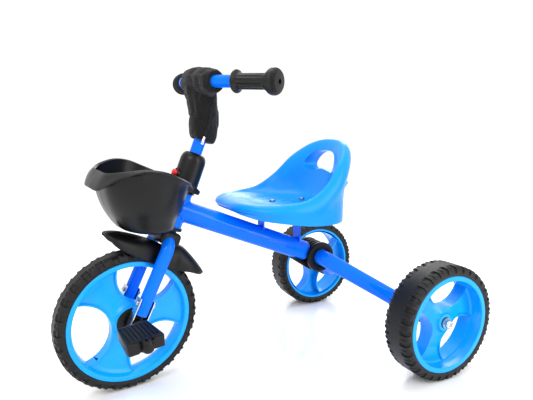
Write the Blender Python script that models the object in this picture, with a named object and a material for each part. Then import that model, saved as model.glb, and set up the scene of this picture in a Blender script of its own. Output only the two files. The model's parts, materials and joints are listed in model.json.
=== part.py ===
"""A children's tricycle: welded steel frame, steered front wheel with pedals, bucket seat and front basket.

Forward is -Y, the rider's left is +X, up is +Z, and the ground is z = 0 under the middle of the tricycle.
Three frames are used. The chassis is built in the world frame. Everything that steers is built in the
steering frame, whose Z is the steering axis (up), whose Y points back and whose X points to the left.
Wheels and pedals are built about their own axles, which lie along X.
"""

from math import atan2, cos, pi, radians, sin, tan

import bmesh
import bpy
from mathutils import Matrix, Vector

MM = 0.001

# ---- Driving dimensions ------------------------------------------------------------------------------------

# Fits
GAP = 0.3 * MM  # between pieces of one body that touch
RUNNING = 0.5 * MM  # between pieces that turn on each other
WHEEL_SIDE_PLAY = 1.0 * MM  # end play of a wheel or a pedal on its axle

# Overall layout
WHEELBASE = 497.6 * MM  # between the wheel axles with the handlebar straight
HEAD_ANGLE = radians(20.85)  # the steering axis leans back by this much
REST_TURN = radians(8.0)  # the handlebar is stored turned a little to the left
FORK_OFFSET = 18.4 * MM  # the front axle lies this far ahead of the steering axis
AXLE_UP = 121.4 * MM  # front axle, along the steering axis
HANDLEBAR_UP = 535.3 * MM  # handlebar, along the steering axis
HANDLEBAR_REACH = 36.8 * MM  # handlebar, ahead of the steering axis
BAR_HALF_STRAIGHT = 54.0 * MM  # the crossbar runs straight this far to each side, then sweeps back
BAR_SWEEP = radians(22.0)
BAR_RISE = radians(8.0)
ARM_LENGTH = 121.0 * MM  # from the bend to the end of the grip

# Wheels
FRONT_RADIUS = 120.0 * MM
FRONT_WIDTH = 35.2 * MM
FRONT_RIM_RADIUS = 104.0 * MM
REAR_RADIUS = 103.6 * MM
REAR_WIDTH = 56.0 * MM
REAR_RIM_RADIUS = 87.0 * MM
REAR_TRACK = 420.0 * MM  # between the middles of the rear wheels
RIM_LIP = 9.0 * MM
WHEEL_SEGMENTS = 28  # a multiple of 4, so that a flat and not an edge is lowest
FRONT_HOLE_ANGLE = radians(88.0)  # of the first window, from straight back towards up
FRONT_HOLE_RADIUS = 52.0 * MM
FRONT_HOLE_CIRCLE = 84.0 * MM
REAR_HOLE_ANGLE = radians(77.0)
REAR_HOLE_RADIUS = 47.0 * MM
REAR_HOLE_CIRCLE = 71.0 * MM
REAR_WEB_OUT = 0.5 * MM  # outer face of the rear wheels' web, from the wheel's middle
REAR_NOSE_SINK = 12.0 * MM  # the hub's nose ends this far inside the wheel's outer face

# Tubes
HEAD_TUBE_RADIUS = 18.0 * MM
HEAD_TUBE_WALL = 2.5 * MM
HEAD_TUBE_LOW = 291.0 * MM
HEAD_TUBE_HIGH = 351.0 * MM
MAIN_TUBE_RADIUS = 19.0 * MM
MAIN_TUBE_WALL = 1.8 * MM
MAIN_TUBE_SLOPE = radians(22.0)
MAIN_TUBE_JOIN = 321.3 * MM  # where its centre line meets the steering axis
MAIN_TUBE_LENGTH = 276.5 * MM  # from the steering axis to its cut end
STEERER_RADIUS = 12.7 * MM
STEERER_TOP = 392.0 * MM
STEM_RADIUS = STEERER_RADIUS - 2.2 * MM  # it slides in the steerer
STEM_WALL = 1.5 * MM
STEM_BOTTOM = 352.0 * MM
FORK_TUBE_RADIUS = 11.0 * MM
FORK_TUBE_WALL = 1.6 * MM
FORK_HALF_SPAN = 34.0 * MM
FORK_CROWN_UP = 269.0 * MM
FORK_CROWN_BACK = 7.0 * MM  # the crown lies this far ahead of the steering axis
FORK_LEG_END = 20.0 * MM  # above the front axle, along the leg
FORK_BEND = 21.0 * MM
AXLE_TUBE_RADIUS = 15.0 * MM
AXLE_TUBE_WALL = 2.0 * MM
AXLE_TUBE_SIDES = 12
AXLE_TUBE_BEND = 42.0 * MM
AXLE_KNEE_BEND = 16.0 * MM
AXLE_LEG_OUT = REAR_TRACK / 2 - 91.0 * MM  # where each rear leg's centre line meets the axle line

# Bearings, axles and fasteners
BUSH_FLANGE_RADIUS = 20.5 * MM
CRANK_ROD_RADIUS = 6.0 * MM
CRANK_THROW = 36.0 * MM
CRANK_ANGLE = radians(155.0)  # of the left pedal about the axle, from straight back
PEDAL_MIDDLE = 122.0 * MM
PEDAL_WIDTH = 60.0 * MM
PEDAL_LENGTH = 56.0 * MM
PEDAL_THICKNESS = 18.0 * MM
PEDAL_TILT = radians(25.0)  # of the pedals at rest, in the steering frame
HUB_COVER_RADIUS = 26.0 * MM
REAR_PIN_RADIUS = 5.0 * MM
REAR_BUSH_RADIUS = 9.0 * MM
BEARING_RADIUS = 10.6 * MM
CLIP_THICKNESS = 2.0 * MM
CLIP_WIDTH = 16.0 * MM
CLIP_BOLT_UP = 38.0 * MM  # above the front axle, along the leg
BOLT_RADIUS = 2.5 * MM

# Rear clamp
CLAMP_RADIUS = AXLE_TUBE_RADIUS + 10.0 * MM
CLAMP_HALF_WIDTH = 20.0 * MM
COLLAR_RADIUS = AXLE_TUBE_RADIUS + 14.5 * MM
COLLAR_OUT = 28.5 * MM
SLEEVE_RADIUS = AXLE_TUBE_RADIUS + 2.5 * MM

# Column cover, button, basket
COVER_RADIUS = 22.0 * MM
COVER_TOP = 421.0 * MM
COVER_BOTTOM = 354.4 * MM
BUTTON_UP = 379.0 * MM
BUTTON_RADIUS = 6.0 * MM
SHANK_RADIUS = 3.6 * MM
BUTTON_FLOOR = 16.0 * MM  # bottom of the button's well in the cover, ahead of the steering axis
BUTTON_TRAVEL = 3.0 * MM
BUTTON_REACH = 29.5 * MM
BASKET_WALL = 3.0 * MM

# Seat
SEAT_Y = 50.0 * MM
SEAT_Z = 300.0 * MM
SEAT_WALL = 3.5 * MM
SEAT_PAN_TOP = 1.0 * MM  # the flat of the pan, above the seat's reference point
SEAT_PAN_WALL = 4.5 * MM
BRACKET_WIDTH = 24.0 * MM
BRACKET_THICKNESS = 3.0 * MM
BOLTS = (("seat_bolt_front", 33.0 * MM), ("seat_bolt_rear", 97.0 * MM))
BRACKETS = ((8.0 * MM, 34.0 * MM), (86.0 * MM, 18.0 * MM))  # front face of each upright, length over its flange

# Grips
GRIP_FLANGE_IN = 41.5 * MM  # from the bend
GRIP_FLANGE_RADIUS = 18.2 * MM
GRIP_RADIUS = 11.9 * MM
GRIP_BALL_RADIUS = 20.5 * MM
GRIP_RIBS = 3
BAR_RADIUS = 10.0 * MM
BAR_BEND = 30.0 * MM

# Colours: red, green, blue, roughness, metallic
FINISHES = {
    "frame_blue": (0.0, 0.16, 0.90, 0.22, 0.0),
    "rim_blue": (0.02, 0.36, 0.95, 0.35, 0.0),
    "seat_blue": (0.03, 0.36, 0.95, 0.4, 0.0),
    "black": (0.02, 0.02, 0.02, 0.5, 0.0),
    "tyre_black": (0.03, 0.03, 0.03, 0.8, 0.0),
    "fabric_black": (0.02, 0.02, 0.02, 0.9, 0.0),
    "grip_black": (0.025, 0.025, 0.025, 0.6, 0.0),
    "chrome": (0.8, 0.8, 0.82, 0.15, 1.0),
    "red": (0.8, 0.01, 0.02, 0.4, 0.0),
}


# ---- Small geometry helpers --------------------------------------------------------------------------------


def round_hole(radius, clearance, segments):
    """Radius of a faceted hole whose flats clear a round pin by the given clearance."""
    return (radius + clearance) / cos(pi / segments)


def finish_of(name, finish):
    red, green, blue, roughness, metallic = FINISHES[finish]
    material = bpy.data.materials.new(name + "_material")
    material.use_nodes = True
    shader = material.node_tree.nodes["Principled BSDF"]
    shader.inputs["Base Color"].default_value = (red, green, blue, 1.0)
    shader.inputs["Roughness"].default_value = roughness
    shader.inputs["Metallic"].default_value = metallic
    return material


def new_object(name, bm, finish="black", parent=None):
    """The closed mesh in bm as a named object, placed by its parent's frame."""
    bmesh.ops.remove_doubles(bm, verts=bm.verts, dist=0.001 * MM)
    bmesh.ops.recalc_face_normals(bm, faces=bm.faces)
    mesh = bpy.data.meshes.new(name)
    bm.to_mesh(mesh)
    bm.free()
    mesh.shade_smooth()
    mesh.set_sharp_from_angle(angle=radians(35))
    obj = bpy.data.objects.new(name, mesh)
    obj.data.materials.append(finish_of(name, finish))
    bpy.context.scene.collection.objects.link(obj)
    obj.parent = parent
    return obj


def empty(name, parent=None, matrix=None):
    """A frame that pieces are parented to."""
    obj = bpy.data.objects.new(name, None)
    bpy.context.scene.collection.objects.link(obj)
    obj.parent = parent
    obj.matrix_local = matrix or Matrix()
    return obj


def combine(target, tool, operation, solver="EXACT"):
    """Joins tool to target, or cuts it away, and removes it. Both are still unparented."""
    modifier = target.modifiers.new(operation.title(), "BOOLEAN")
    modifier.operation = operation
    modifier.solver = solver
    modifier.object = tool
    graph = bpy.context.evaluated_depsgraph_get()
    mesh = bpy.data.meshes.new_from_object(target.evaluated_get(graph))
    target.modifiers.clear()
    bm = bmesh.new()
    bm.from_mesh(mesh)
    bmesh.ops.remove_doubles(bm, verts=bm.verts, dist=0.002 * MM)
    bmesh.ops.triangulate(bm, faces=bm.faces)
    bm.to_mesh(mesh)
    bm.free()
    target.data = mesh
    bpy.data.objects.remove(tool)
    mesh.shade_smooth()
    mesh.set_sharp_from_angle(angle=radians(35))
    return target


def lathe(name, profile, segments, finish="black", parent=None, axis="X", start=0.5):
    """A turned solid from a closed outline of (radius, distance along the axis).

    start turns the first vertex by that part of a segment: 0.5 puts a flat, not an edge, at the bottom.
    """
    bm = bmesh.new()
    verts = [bm.verts.new((radius, 0, along)) for radius, along in profile]
    edges = [bm.edges.new((a, b)) for a, b in zip(verts, verts[1:] + verts[:1])]
    bmesh.ops.spin(
        bm, geom=verts + edges, cent=(0, 0, 0), axis=(0, 0, 1), angle=2 * pi, steps=segments, use_merge=True
    )
    bmesh.ops.dissolve_degenerate(bm, edges=bm.edges, dist=0.001 * MM)
    loose = [edge for edge in bm.edges if not edge.link_faces]
    bmesh.ops.delete(bm, geom=loose, context="EDGES")
    turn = Matrix.Rotation(2 * pi / segments * start, 4, "Z")
    lay = {
        "X": Matrix.Rotation(pi / 2, 4, "Y"),
        "Y": Matrix.Rotation(-pi / 2, 4, "X"),
        "Z": Matrix(),
    }[axis]
    bmesh.ops.transform(bm, matrix=lay @ turn, verts=bm.verts)
    return new_object(name, bm, finish, parent)


def moved(obj, offset):
    """Shifts an object's mesh, so that its origin stays at its parent's."""
    obj.data.transform(Matrix.Translation(offset))
    return obj


def pin(name, radius, low, high, segments, finish="chrome", parent=None, axis="X"):
    """A plain round rod between two places on its axis."""
    return lathe(name, [(0, low), (radius, low), (radius, high), (0, high)], segments, finish, parent, axis)


def ring(name, inner, outer, low, high, segments, finish="black", parent=None, axis="X"):
    """A plain bush or washer."""
    outline = [(inner, low), (outer, low), (outer, high), (inner, high)]
    return lathe(name, outline, segments, finish, parent, axis)


def bridge(bm, rings, close):
    """Skins a list of vertex rings; close joins the last to the first."""
    pairs = zip(rings, rings[1:] + rings[:1]) if close else zip(rings, rings[1:])
    for first, second in pairs:
        count = len(first)
        for i in range(count):
            j = (i + 1) % count
            bm.faces.new((first[i], first[j], second[j], second[i]))


def loft(name, rings, finish="black", parent=None, close=False):
    """A closed solid through rings of points. Open ends are capped flat."""
    bm = bmesh.new()
    skins = [[bm.verts.new(point) for point in ring_points] for ring_points in rings]
    bridge(bm, skins, close)
    if not close:
        bm.faces.new(skins[0][::-1])
        bm.faces.new(skins[-1])
    bmesh.ops.triangulate(bm, faces=[f for f in bm.faces if len(f.verts) > 4])
    return new_object(name, bm, finish, parent)


def rounded(points, bend, steps=5):
    """A path of straight runs with an arc of the given radius at each inner corner."""
    path = [Vector(points[0])]
    for before, corner, after in zip(points, points[1:], points[2:]):
        corner = Vector(corner)
        back = (Vector(before) - corner).normalized()
        ahead = (Vector(after) - corner).normalized()
        half = back.angle(ahead) / 2
        middle = corner + (back + ahead).normalized() * (bend / sin(half))
        start = corner + back * (bend / tan(half))
        arm = start - middle
        axis = back.cross(ahead)
        sweep = pi - 2 * half
        for i in range(steps + 1):
            path.append(middle + Matrix.Rotation(-sweep * i / steps, 3, axis) @ arm)
    path.append(Vector(points[-1]))
    return path


def sweep_rings(path, radius, sides):
    """Rings of points round a path, square to it, without twist."""
    rings = []
    across = None
    for i, point in enumerate(path):
        ahead = (path[min(i + 1, len(path) - 1)] - path[max(i - 1, 0)]).normalized()
        if across is None:
            across = ahead.orthogonal().normalized()
        across = (across - ahead * across.dot(ahead)).normalized()
        side = ahead.cross(across)
        turns = [2 * pi * k / sides for k in range(sides)]
        rings.append([point + (across * cos(a) + side * sin(a)) * radius for a in turns])
    return rings


def bar(name, path, radius, sides=14, finish="frame_blue", parent=None):
    """A solid round bar along a path."""
    return loft(name, sweep_rings(path, radius, sides), finish, parent)


def pipe(name, path, radius, wall, sides=14, finish="frame_blue", parent=None):
    """A hollow tube along a path, open at both ends."""
    outer = sweep_rings(path, radius, sides)
    inner = sweep_rings(path, radius - wall, sides)
    return loft(name, outer + inner[::-1], finish, parent, close=True)


def block(name, size, centre, finish="black", parent=None, bevel=0.0):
    """A box with its edges bevelled."""
    bm = bmesh.new()
    bmesh.ops.create_cube(bm, size=1.0)
    bmesh.ops.scale(bm, vec=size, verts=bm.verts)
    if bevel:
        bmesh.ops.bevel(bm, geom=bm.edges, offset=bevel, segments=1, affect="EDGES")
    bmesh.ops.translate(bm, vec=centre, verts=bm.verts)
    return new_object(name, bm, finish, parent)


def prism(name, outline, low, high, finish="black", parent=None):
    """An outline in Y and Z, extruded along X."""
    rings = [[(x, y, z) for y, z in outline] for x in (low, high)]
    return loft(name, rings, finish, parent)


def spline(stations, steps):
    """A smooth curve through the stations, in steps pieces between each two."""
    points = [Vector(s) * MM for s in stations]
    ends = [points[0] * 2 - points[1]] + points + [points[-1] * 2 - points[-2]]
    curve = []
    for a, b, c, d in zip(ends, ends[1:], ends[2:], ends[3:]):
        for i in range(steps):
            t = i / steps
            bow = (c - a) * t + (2 * a - 5 * b + 4 * c - d) * t * t + (3 * b - a - 3 * c + d) * t**3
            curve.append(b + bow / 2)
    curve.append(points[-1])
    return curve


def mirrored(half):
    """A closed ring from its half, whose first and last points lie on X = 0."""
    half = [Vector((0, half[0].y, half[0].z))] + half[1:-1] + [Vector((0, half[-1].y, half[-1].z))]
    return half + [Vector((-p.x, p.y, p.z)) for p in half[-2:0:-1]]


def ring_of(stations, steps=1):
    """A closed ring from half a ring of stations."""
    return mirrored(spline(stations, steps))


def offset_ring(points, inset, rise=0.0):
    """A closed ring, counter-clockwise from above, moved inwards by inset and upwards by rise."""
    moved_points = []
    for before, point, after in zip(points[-1:] + points[:-1], points, points[1:] + points[:1]):
        first = Vector((before.y - point.y, point.x - before.x, 0)).normalized()
        second = Vector((point.y - after.y, after.x - point.x, 0)).normalized()
        inward = (first + second).normalized()
        moved_points.append(point + inward * inset + Vector((0, 0, rise)))
    return moved_points


def spline_rows(rows, steps):
    """Smooth interpolation of rows of numbers."""
    ends = [rows[0]] + list(rows) + [rows[-1]]
    table = []
    for a, b, c, d in zip(ends, ends[1:], ends[2:], ends[3:]):
        for i in range(steps):
            t = i / steps
            row = []
            for w, x, y, z in zip(a, b, c, d):
                row.append(x + ((y - w) * t + (2 * w - 5 * x + 4 * y - z) * t * t + (3 * x - w - 3 * y + z) * t**3) / 2)
            table.append(row)
    table.append(list(rows[-1]))
    return table


# ---- Frames ------------------------------------------------------------------------------------------------


def tyre_profile(radius, width, seat):
    """Outline of a tyre that is flat across its tread and rounded at its shoulders."""
    half = width / 2
    crown = 0.30 * width
    side = [(seat, half - 0.5 * MM), (radius - 8 * MM, half), (radius - 2.2 * MM, half - 3 * MM)]
    outline = [(seat, -half + 0.5 * MM)] + [(r, -x) for r, x in side[1:]]
    return outline + [(radius, -crown), (radius, crown)] + side[:0:-1] + side[:1]


def lowest_of_tyre(profile, segments, matrix):
    """Height of a leaning tyre's lowest corner, in the frame that matrix leads to."""
    turns = [2 * pi * (i + 0.5) / segments for i in range(segments)]
    corners = [Vector((x, r * cos(a), r * sin(a))) for r, x in profile for a in turns]
    return min((matrix @ corner).z for corner in corners)


FRONT_PROFILE = tyre_profile(FRONT_RADIUS, FRONT_WIDTH, FRONT_RIM_RADIUS)
REAR_PROFILE = tyre_profile(REAR_RADIUS, REAR_WIDTH, REAR_RIM_RADIUS)
REAR_AXLE_HEIGHT = REAR_RADIUS * cos(pi / WHEEL_SEGMENTS)

LEAN = Matrix.Rotation(-HEAD_ANGLE, 4, "X")
TO_FRONT_AXLE = Matrix.Translation((0, -FORK_OFFSET, AXLE_UP))
HEAD_LIFT = -lowest_of_tyre(
    FRONT_PROFILE, WHEEL_SEGMENTS, LEAN @ Matrix.Rotation(REST_TURN, 4, "Z") @ TO_FRONT_AXLE
)
FRONT_AXLE_Y = (LEAN @ TO_FRONT_AXLE).translation.y
HEAD = Matrix.Translation((0, -FRONT_AXLE_Y, HEAD_LIFT)) @ LEAN  # the front axle is at y = 0 with no turn
REAR_AXLE = Vector((0, WHEELBASE, REAR_AXLE_HEIGHT))

MAIN_AHEAD = Vector((0, cos(MAIN_TUBE_SLOPE), -sin(MAIN_TUBE_SLOPE)))
MAIN_START = HEAD @ Vector((0, 0, MAIN_TUBE_JOIN))
MAIN_END = MAIN_START + MAIN_AHEAD * MAIN_TUBE_LENGTH
CLAMP = MAIN_END + MAIN_AHEAD * (CLAMP_RADIUS + GAP)
CHASSIS_Y = CLAMP.y - 127.5 * MM  # the seat and its brackets are set out from the clamp


def main_tube_top(y):
    """Height of the main tube's upper side at a place along the tricycle."""
    along = (y - MAIN_START.y) / MAIN_AHEAD.y
    return MAIN_START.z + MAIN_AHEAD.z * along + MAIN_TUBE_RADIUS / cos(MAIN_TUBE_SLOPE)


# ---- Chassis -----------------------------------------------------------------------------------------------


def main_frame(world):
    """Main tube, head tube and the two seat brackets, welded."""
    sides = 20
    along = HEAD.to_3x3() @ Vector((0, 0, 1))
    low = HEAD @ Vector((0, 0, HEAD_TUBE_LOW))
    high = HEAD @ Vector((0, 0, HEAD_TUBE_HIGH))
    near = MAIN_START + MAIN_AHEAD * (4 * MM)
    obj = bar("main_frame", [near, MAIN_END], MAIN_TUBE_RADIUS, sides)
    for front, length in BRACKETS:
        back = front + BRACKET_THICKNESS
        foot = main_tube_top(back + CHASSIS_Y) - 8 * MM
        top = SEAT_Z + SEAT_PAN_TOP - SEAT_PAN_WALL - GAP
        reach = front + length
        outline = [(front, foot), (back, foot), (back, top - BRACKET_THICKNESS)]
        outline += [(reach, top - BRACKET_THICKNESS), (reach, top), (front, top)]
        outline = [(y + CHASSIS_Y, z) for y, z in outline]
        width = BRACKET_WIDTH / 2
        combine(obj, prism("bracket", outline, -width, width), "UNION", "MANIFOLD")
    combine(obj, bar("head_tube", [low, high], HEAD_TUBE_RADIUS, sides), "UNION", "MANIFOLD")
    spare = along * (2 * MM)
    inner = HEAD_TUBE_RADIUS - HEAD_TUBE_WALL
    combine(obj, bar("bore", [low - spare, high + spare], inner, sides), "DIFFERENCE", "MANIFOLD")
    start = MAIN_START + MAIN_AHEAD * (HEAD_TUBE_RADIUS + 12 * MM)
    end = MAIN_END + MAIN_AHEAD * (5 * MM)
    hollow = bar("hollow", [start, end], MAIN_TUBE_RADIUS - MAIN_TUBE_WALL, sides)
    combine(obj, hollow, "DIFFERENCE", "MANIFOLD")
    for _, y in BOLTS:
        hole = pin("hole", round_hole(BOLT_RADIUS, GAP, 12), -12 * MM, 12 * MM, 12, axis="Z")
        moved(hole, (0, y + CHASSIS_Y, SEAT_Z))
        combine(obj, hole, "DIFFERENCE", "MANIFOLD")
    obj.parent = world


def head_bushes(head):
    """Flanged plastic bushes pressed into the head tube, in which the fork turns."""
    segments = 20
    bore = round_hole(STEERER_RADIUS, RUNNING, segments)
    barrel = (HEAD_TUBE_RADIUS - HEAD_TUBE_WALL) * cos(pi / segments) - GAP
    for name, face, out in (
        ("head_bush_lower", HEAD_TUBE_LOW - GAP, -1),
        ("head_bush_upper", HEAD_TUBE_HIGH + GAP, 1),
    ):
        outer = face + out * (5.4 * MM if out < 0 else 2.6 * MM)
        inner = face - out * 12 * MM
        outline = [(bore, outer), (BUSH_FLANGE_RADIUS, outer), (BUSH_FLANGE_RADIUS, face)]
        outline += [(barrel, face), (barrel, inner), (bore, inner)]
        lathe(name, outline, segments, "black", head, "Z")


# The bend at the foot of each rear leg fits between the leg and the wheel.
def knee_turn():
    """Angle the rear tube turns through on leaving the clamp."""
    drop = CLAMP - Vector((0, REAR_AXLE.y, REAR_AXLE.z))
    drop.x = 0
    return atan2(drop.length, AXLE_LEG_OUT - COLLAR_OUT - 10 * MM)


def axle_path():
    """Centre line of the rear axle tube, from one wheel to the other through the clamp."""
    end = REAR_TRACK / 2 - REAR_WIDTH / 2 - 5 * MM
    knee = COLLAR_OUT + 2 * MM + AXLE_KNEE_BEND * tan(knee_turn() / 2)
    left = [
        Vector((end, REAR_AXLE.y, REAR_AXLE.z)),
        Vector((AXLE_LEG_OUT, REAR_AXLE.y, REAR_AXLE.z)),
        Vector((knee, CLAMP.y, CLAMP.z)),
    ]
    right = [Vector((-p.x, p.y, p.z)) for p in left]
    return left + right[::-1]


def rear_axle_tube(world):
    points = axle_path()
    outer = rounded(points[:3], AXLE_TUBE_BEND, 3)[:-1]
    inner = rounded([points[1], points[2], Vector((0, CLAMP.y, CLAMP.z))], AXLE_KNEE_BEND, 3)[1:-1]
    path = outer + inner
    other = [Vector((-p.x, p.y, p.z)) for p in path]
    pipe("rear_axle_tube", path + other[::-1], AXLE_TUBE_RADIUS, AXLE_TUBE_WALL, AXLE_TUBE_SIDES, "frame_blue", world)




def axle_clamp(world):
    """Two plastic shells round the axle tube: the upper one ribbed, the lower one with a tongue ahead."""
    segments = 24
    bore = round_hole(AXLE_TUBE_RADIUS, GAP, segments)
    rib = COLLAR_RADIUS - 1 * MM
    ribbed = [(bore, -CLAMP_HALF_WIDTH), (CLAMP_RADIUS, -CLAMP_HALF_WIDTH)]
    for x in (-12 * MM, 0, 12 * MM):
        ribbed += [(CLAMP_RADIUS, x - 1.5 * MM), (rib, x - 1.2 * MM), (rib, x + 1.2 * MM)]
        ribbed += [(CLAMP_RADIUS, x + 1.5 * MM)]
    ribbed += [(CLAMP_RADIUS, CLAMP_HALF_WIDTH), (bore, CLAMP_HALF_WIDTH)]
    plain = [ribbed[0], ribbed[1], ribbed[-2], ribbed[-1]]
    turn = Matrix.Rotation(-MAIN_TUBE_SLOPE, 4, "X")
    split = 0.4 * MM
    under = MAIN_TUBE_RADIUS + GAP
    for name, side, outline in (("axle_clamp_upper", 1, ribbed), ("axle_clamp_lower", -1, plain)):
        obj = lathe(name, outline, segments)
        keep = block("keep", (0.2, 0.2, 0.1), (0, 0, side * (0.05 + split)))
        combine(obj, keep, "INTERSECT")
        if side > 0:
            # The ribs stop short of the main tube's end.
            room = block("room", (0.1, 0.05, 0.1), (0, -CLAMP_RADIUS - 0.025 + 0.1 * MM, 0))
            combine(obj, room, "DIFFERENCE")
        else:
            tongue = [(-45 * MM, -under), (-45 * MM, -under - 3 * MM), (-8 * MM, -30.3 * MM)]
            tongue += [(3 * MM, -29.5 * MM), (8 * MM, -23 * MM), (4 * MM, -20.5 * MM), (-8 * MM, -under)]
            combine(obj, prism("rest", tongue, -11 * MM, 11 * MM), "UNION")
        obj.data.transform(Matrix.Translation(CLAMP) @ turn)
        obj.parent = world


def axle_collars(world):
    """Grooved discs that close the clamp's two ends."""
    segments = 24
    bore = round_hole(AXLE_TUBE_RADIUS, GAP, segments)
    low = CLAMP_HALF_WIDTH + GAP
    for name, side in (("axle_collar_left", 1), ("axle_collar_right", -1)):
        outline = [(bore, low), (COLLAR_RADIUS, low), (COLLAR_RADIUS, COLLAR_OUT - 2 * MM)]
        outline += [(COLLAR_RADIUS - 2 * MM, COLLAR_OUT), (bore, COLLAR_OUT)]
        obj = lathe(name, [(r, side * x) for r, x in outline], segments)
        moved(obj, CLAMP)
        obj.parent = world


def rear_axles(world):
    """On each side: the sleeve over the tube's end, the turned axle in it, its washer and its nut."""
    segments = 16
    wheel_in = REAR_TRACK / 2 - REAR_WIDTH / 2
    wheel_out = REAR_TRACK / 2 + REAR_WIDTH / 2
    tube_end = wheel_in - 5 * MM
    sleeve_out = wheel_in - 1.5 * MM
    plug = (AXLE_TUBE_RADIUS - AXLE_TUBE_WALL) * cos(pi / AXLE_TUBE_SIDES) - GAP
    bore = round_hole(AXLE_TUBE_RADIUS, GAP, 18)
    straight = AXLE_LEG_OUT + AXLE_TUBE_BEND * tan(axle_bend_angle() / 2)
    for side, word in ((1, "left"), (-1, "right")):
        hole = round_hole(REAR_PIN_RADIUS, GAP, 18)
        shell = [(bore, straight), (SLEEVE_RADIUS, straight), (SLEEVE_RADIUS, sleeve_out - 1 * MM)]
        shell += [(SLEEVE_RADIUS - 1 * MM, sleeve_out), (hole, sleeve_out), (hole, tube_end + GAP)]
        shell += [(bore, tube_end + GAP)]
        stub = [(0, straight + 4.5 * MM), (plug, straight + 4.5 * MM), (plug, tube_end)]
        stub += [(REAR_PIN_RADIUS, tube_end), (REAR_PIN_RADIUS, wheel_out - 2 * MM), (0, wheel_out - 2 * MM)]
        nose = wheel_out - REAR_NOSE_SINK + WHEEL_SIDE_PLAY - GAP
        washer = [(hole, nose + GAP), (9 * MM, nose + GAP), (9 * MM, nose + 1.5 * MM), (hole, nose + 1.5 * MM)]
        for name, outline, count, finish in (
            ("axle_sleeve_" + word, shell, 18, "black"),
            ("rear_axle_" + word, stub, segments, "chrome"),
            ("axle_washer_" + word, washer, 18, "chrome"),
        ):
            obj = lathe(name, [(r, side * x) for r, x in outline], count, finish)
            moved(obj, REAR_AXLE)
            obj.parent = world
        low = nose + 1.5 * MM + GAP
        nut = ring("axle_nut_" + word, hole * 1.1, 8.2 * MM, side * low, side * (low + 5 * MM), 6, "chrome")
        moved(nut, REAR_AXLE)
        nut.parent = world


def axle_bend_angle():
    """Angle between a rear leg and the axle line."""
    points = axle_path()
    leg = (points[2] - points[1]).normalized()
    return leg.angle(Vector((-1, 0, 0)))


# ---- Seat --------------------------------------------------------------------------------------------------

# Half outlines from the front middle, round the left side, to the back middle, in mm from the seat's
# reference point: the crest of the rim, the outer shoulder below it, the skirt's lower edge, the inner
# side of the rim, and the edge of the flat pan.
SEAT_CREST = [
    (0, -112, 6), (45, -108, 8), (82, -86, 9), (103, -45, 11), (106, 0, 18), (101, 40, 43),
    (88, 72, 78), (62, 98, 103), (32, 112, 114), (0, 117, 117),
]
SEAT_SHOULDER = [
    (0, -116, 0), (48, -113, 0), (90, -90, 0), (112, -46, -1), (116, 2, 3), (112, 46, 25),
    (99, 80, 58), (71, 109, 84), (37, 126, 95), (0, 131, 98),
]
SEAT_SKIRT = [
    (0, -102, -10), (42, -100, -12), (80, -82, -17), (106, -45, -22), (112, 0, -28), (110, 40, -30),
    (97, 72, -30), (65, 98, -30), (33, 109, -30), (0, 112, -30),
]
SEAT_INNER = [
    (0, -98, 8), (38, -94, 9), (70, -76, 8), (90, -42, 7), (94, 0, 8), (90, 36, 25),
    (76, 65, 57), (52, 88, 85), (27, 99, 96), (0, 102, 98),
]
SEAT_PAN = [
    (0, -70, 6), (28, -66, 5), (52, -52, 3), (68, -30, 2), (74, 2, 2), (72, 34, 6),
    (60, 60, 16), (42, 76, 24), (21, 82, 27), (0, 83, 28),
]
SEAT_FLAT = [
    (0, -48, 1), (20, -45, 1), (38, -35, 1), (48, -16, 1), (51, 4, 1), (50, 24, 1),
    (42, 42, 1), (30, 54, 1), (15, 60, 1), (0, 61, 1),
]
# The hand hole's outline, seen from the front: half of it, from its lower middle round to its upper middle.
SEAT_HOLE = [(0, 59), (22, 56), (40, 54), (50, 60), (51, 71), (42, 84), (26, 92), (0, 95)]


def seat_ring(stations, steps=1, inset=0.0, drop=0.0, top=None):
    """A closed ring through the stations, pulled in towards the middle and down."""
    points = []
    for point in spline(stations, steps):
        out = Vector((point.x, point.y, 0))
        if out.length > 1 * MM:
            point = point - out.normalized() * inset
        point.z -= drop
        if top is not None:
            point.z = min(point.z, top)
        points.append(point)
    return mirrored(points)


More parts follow.
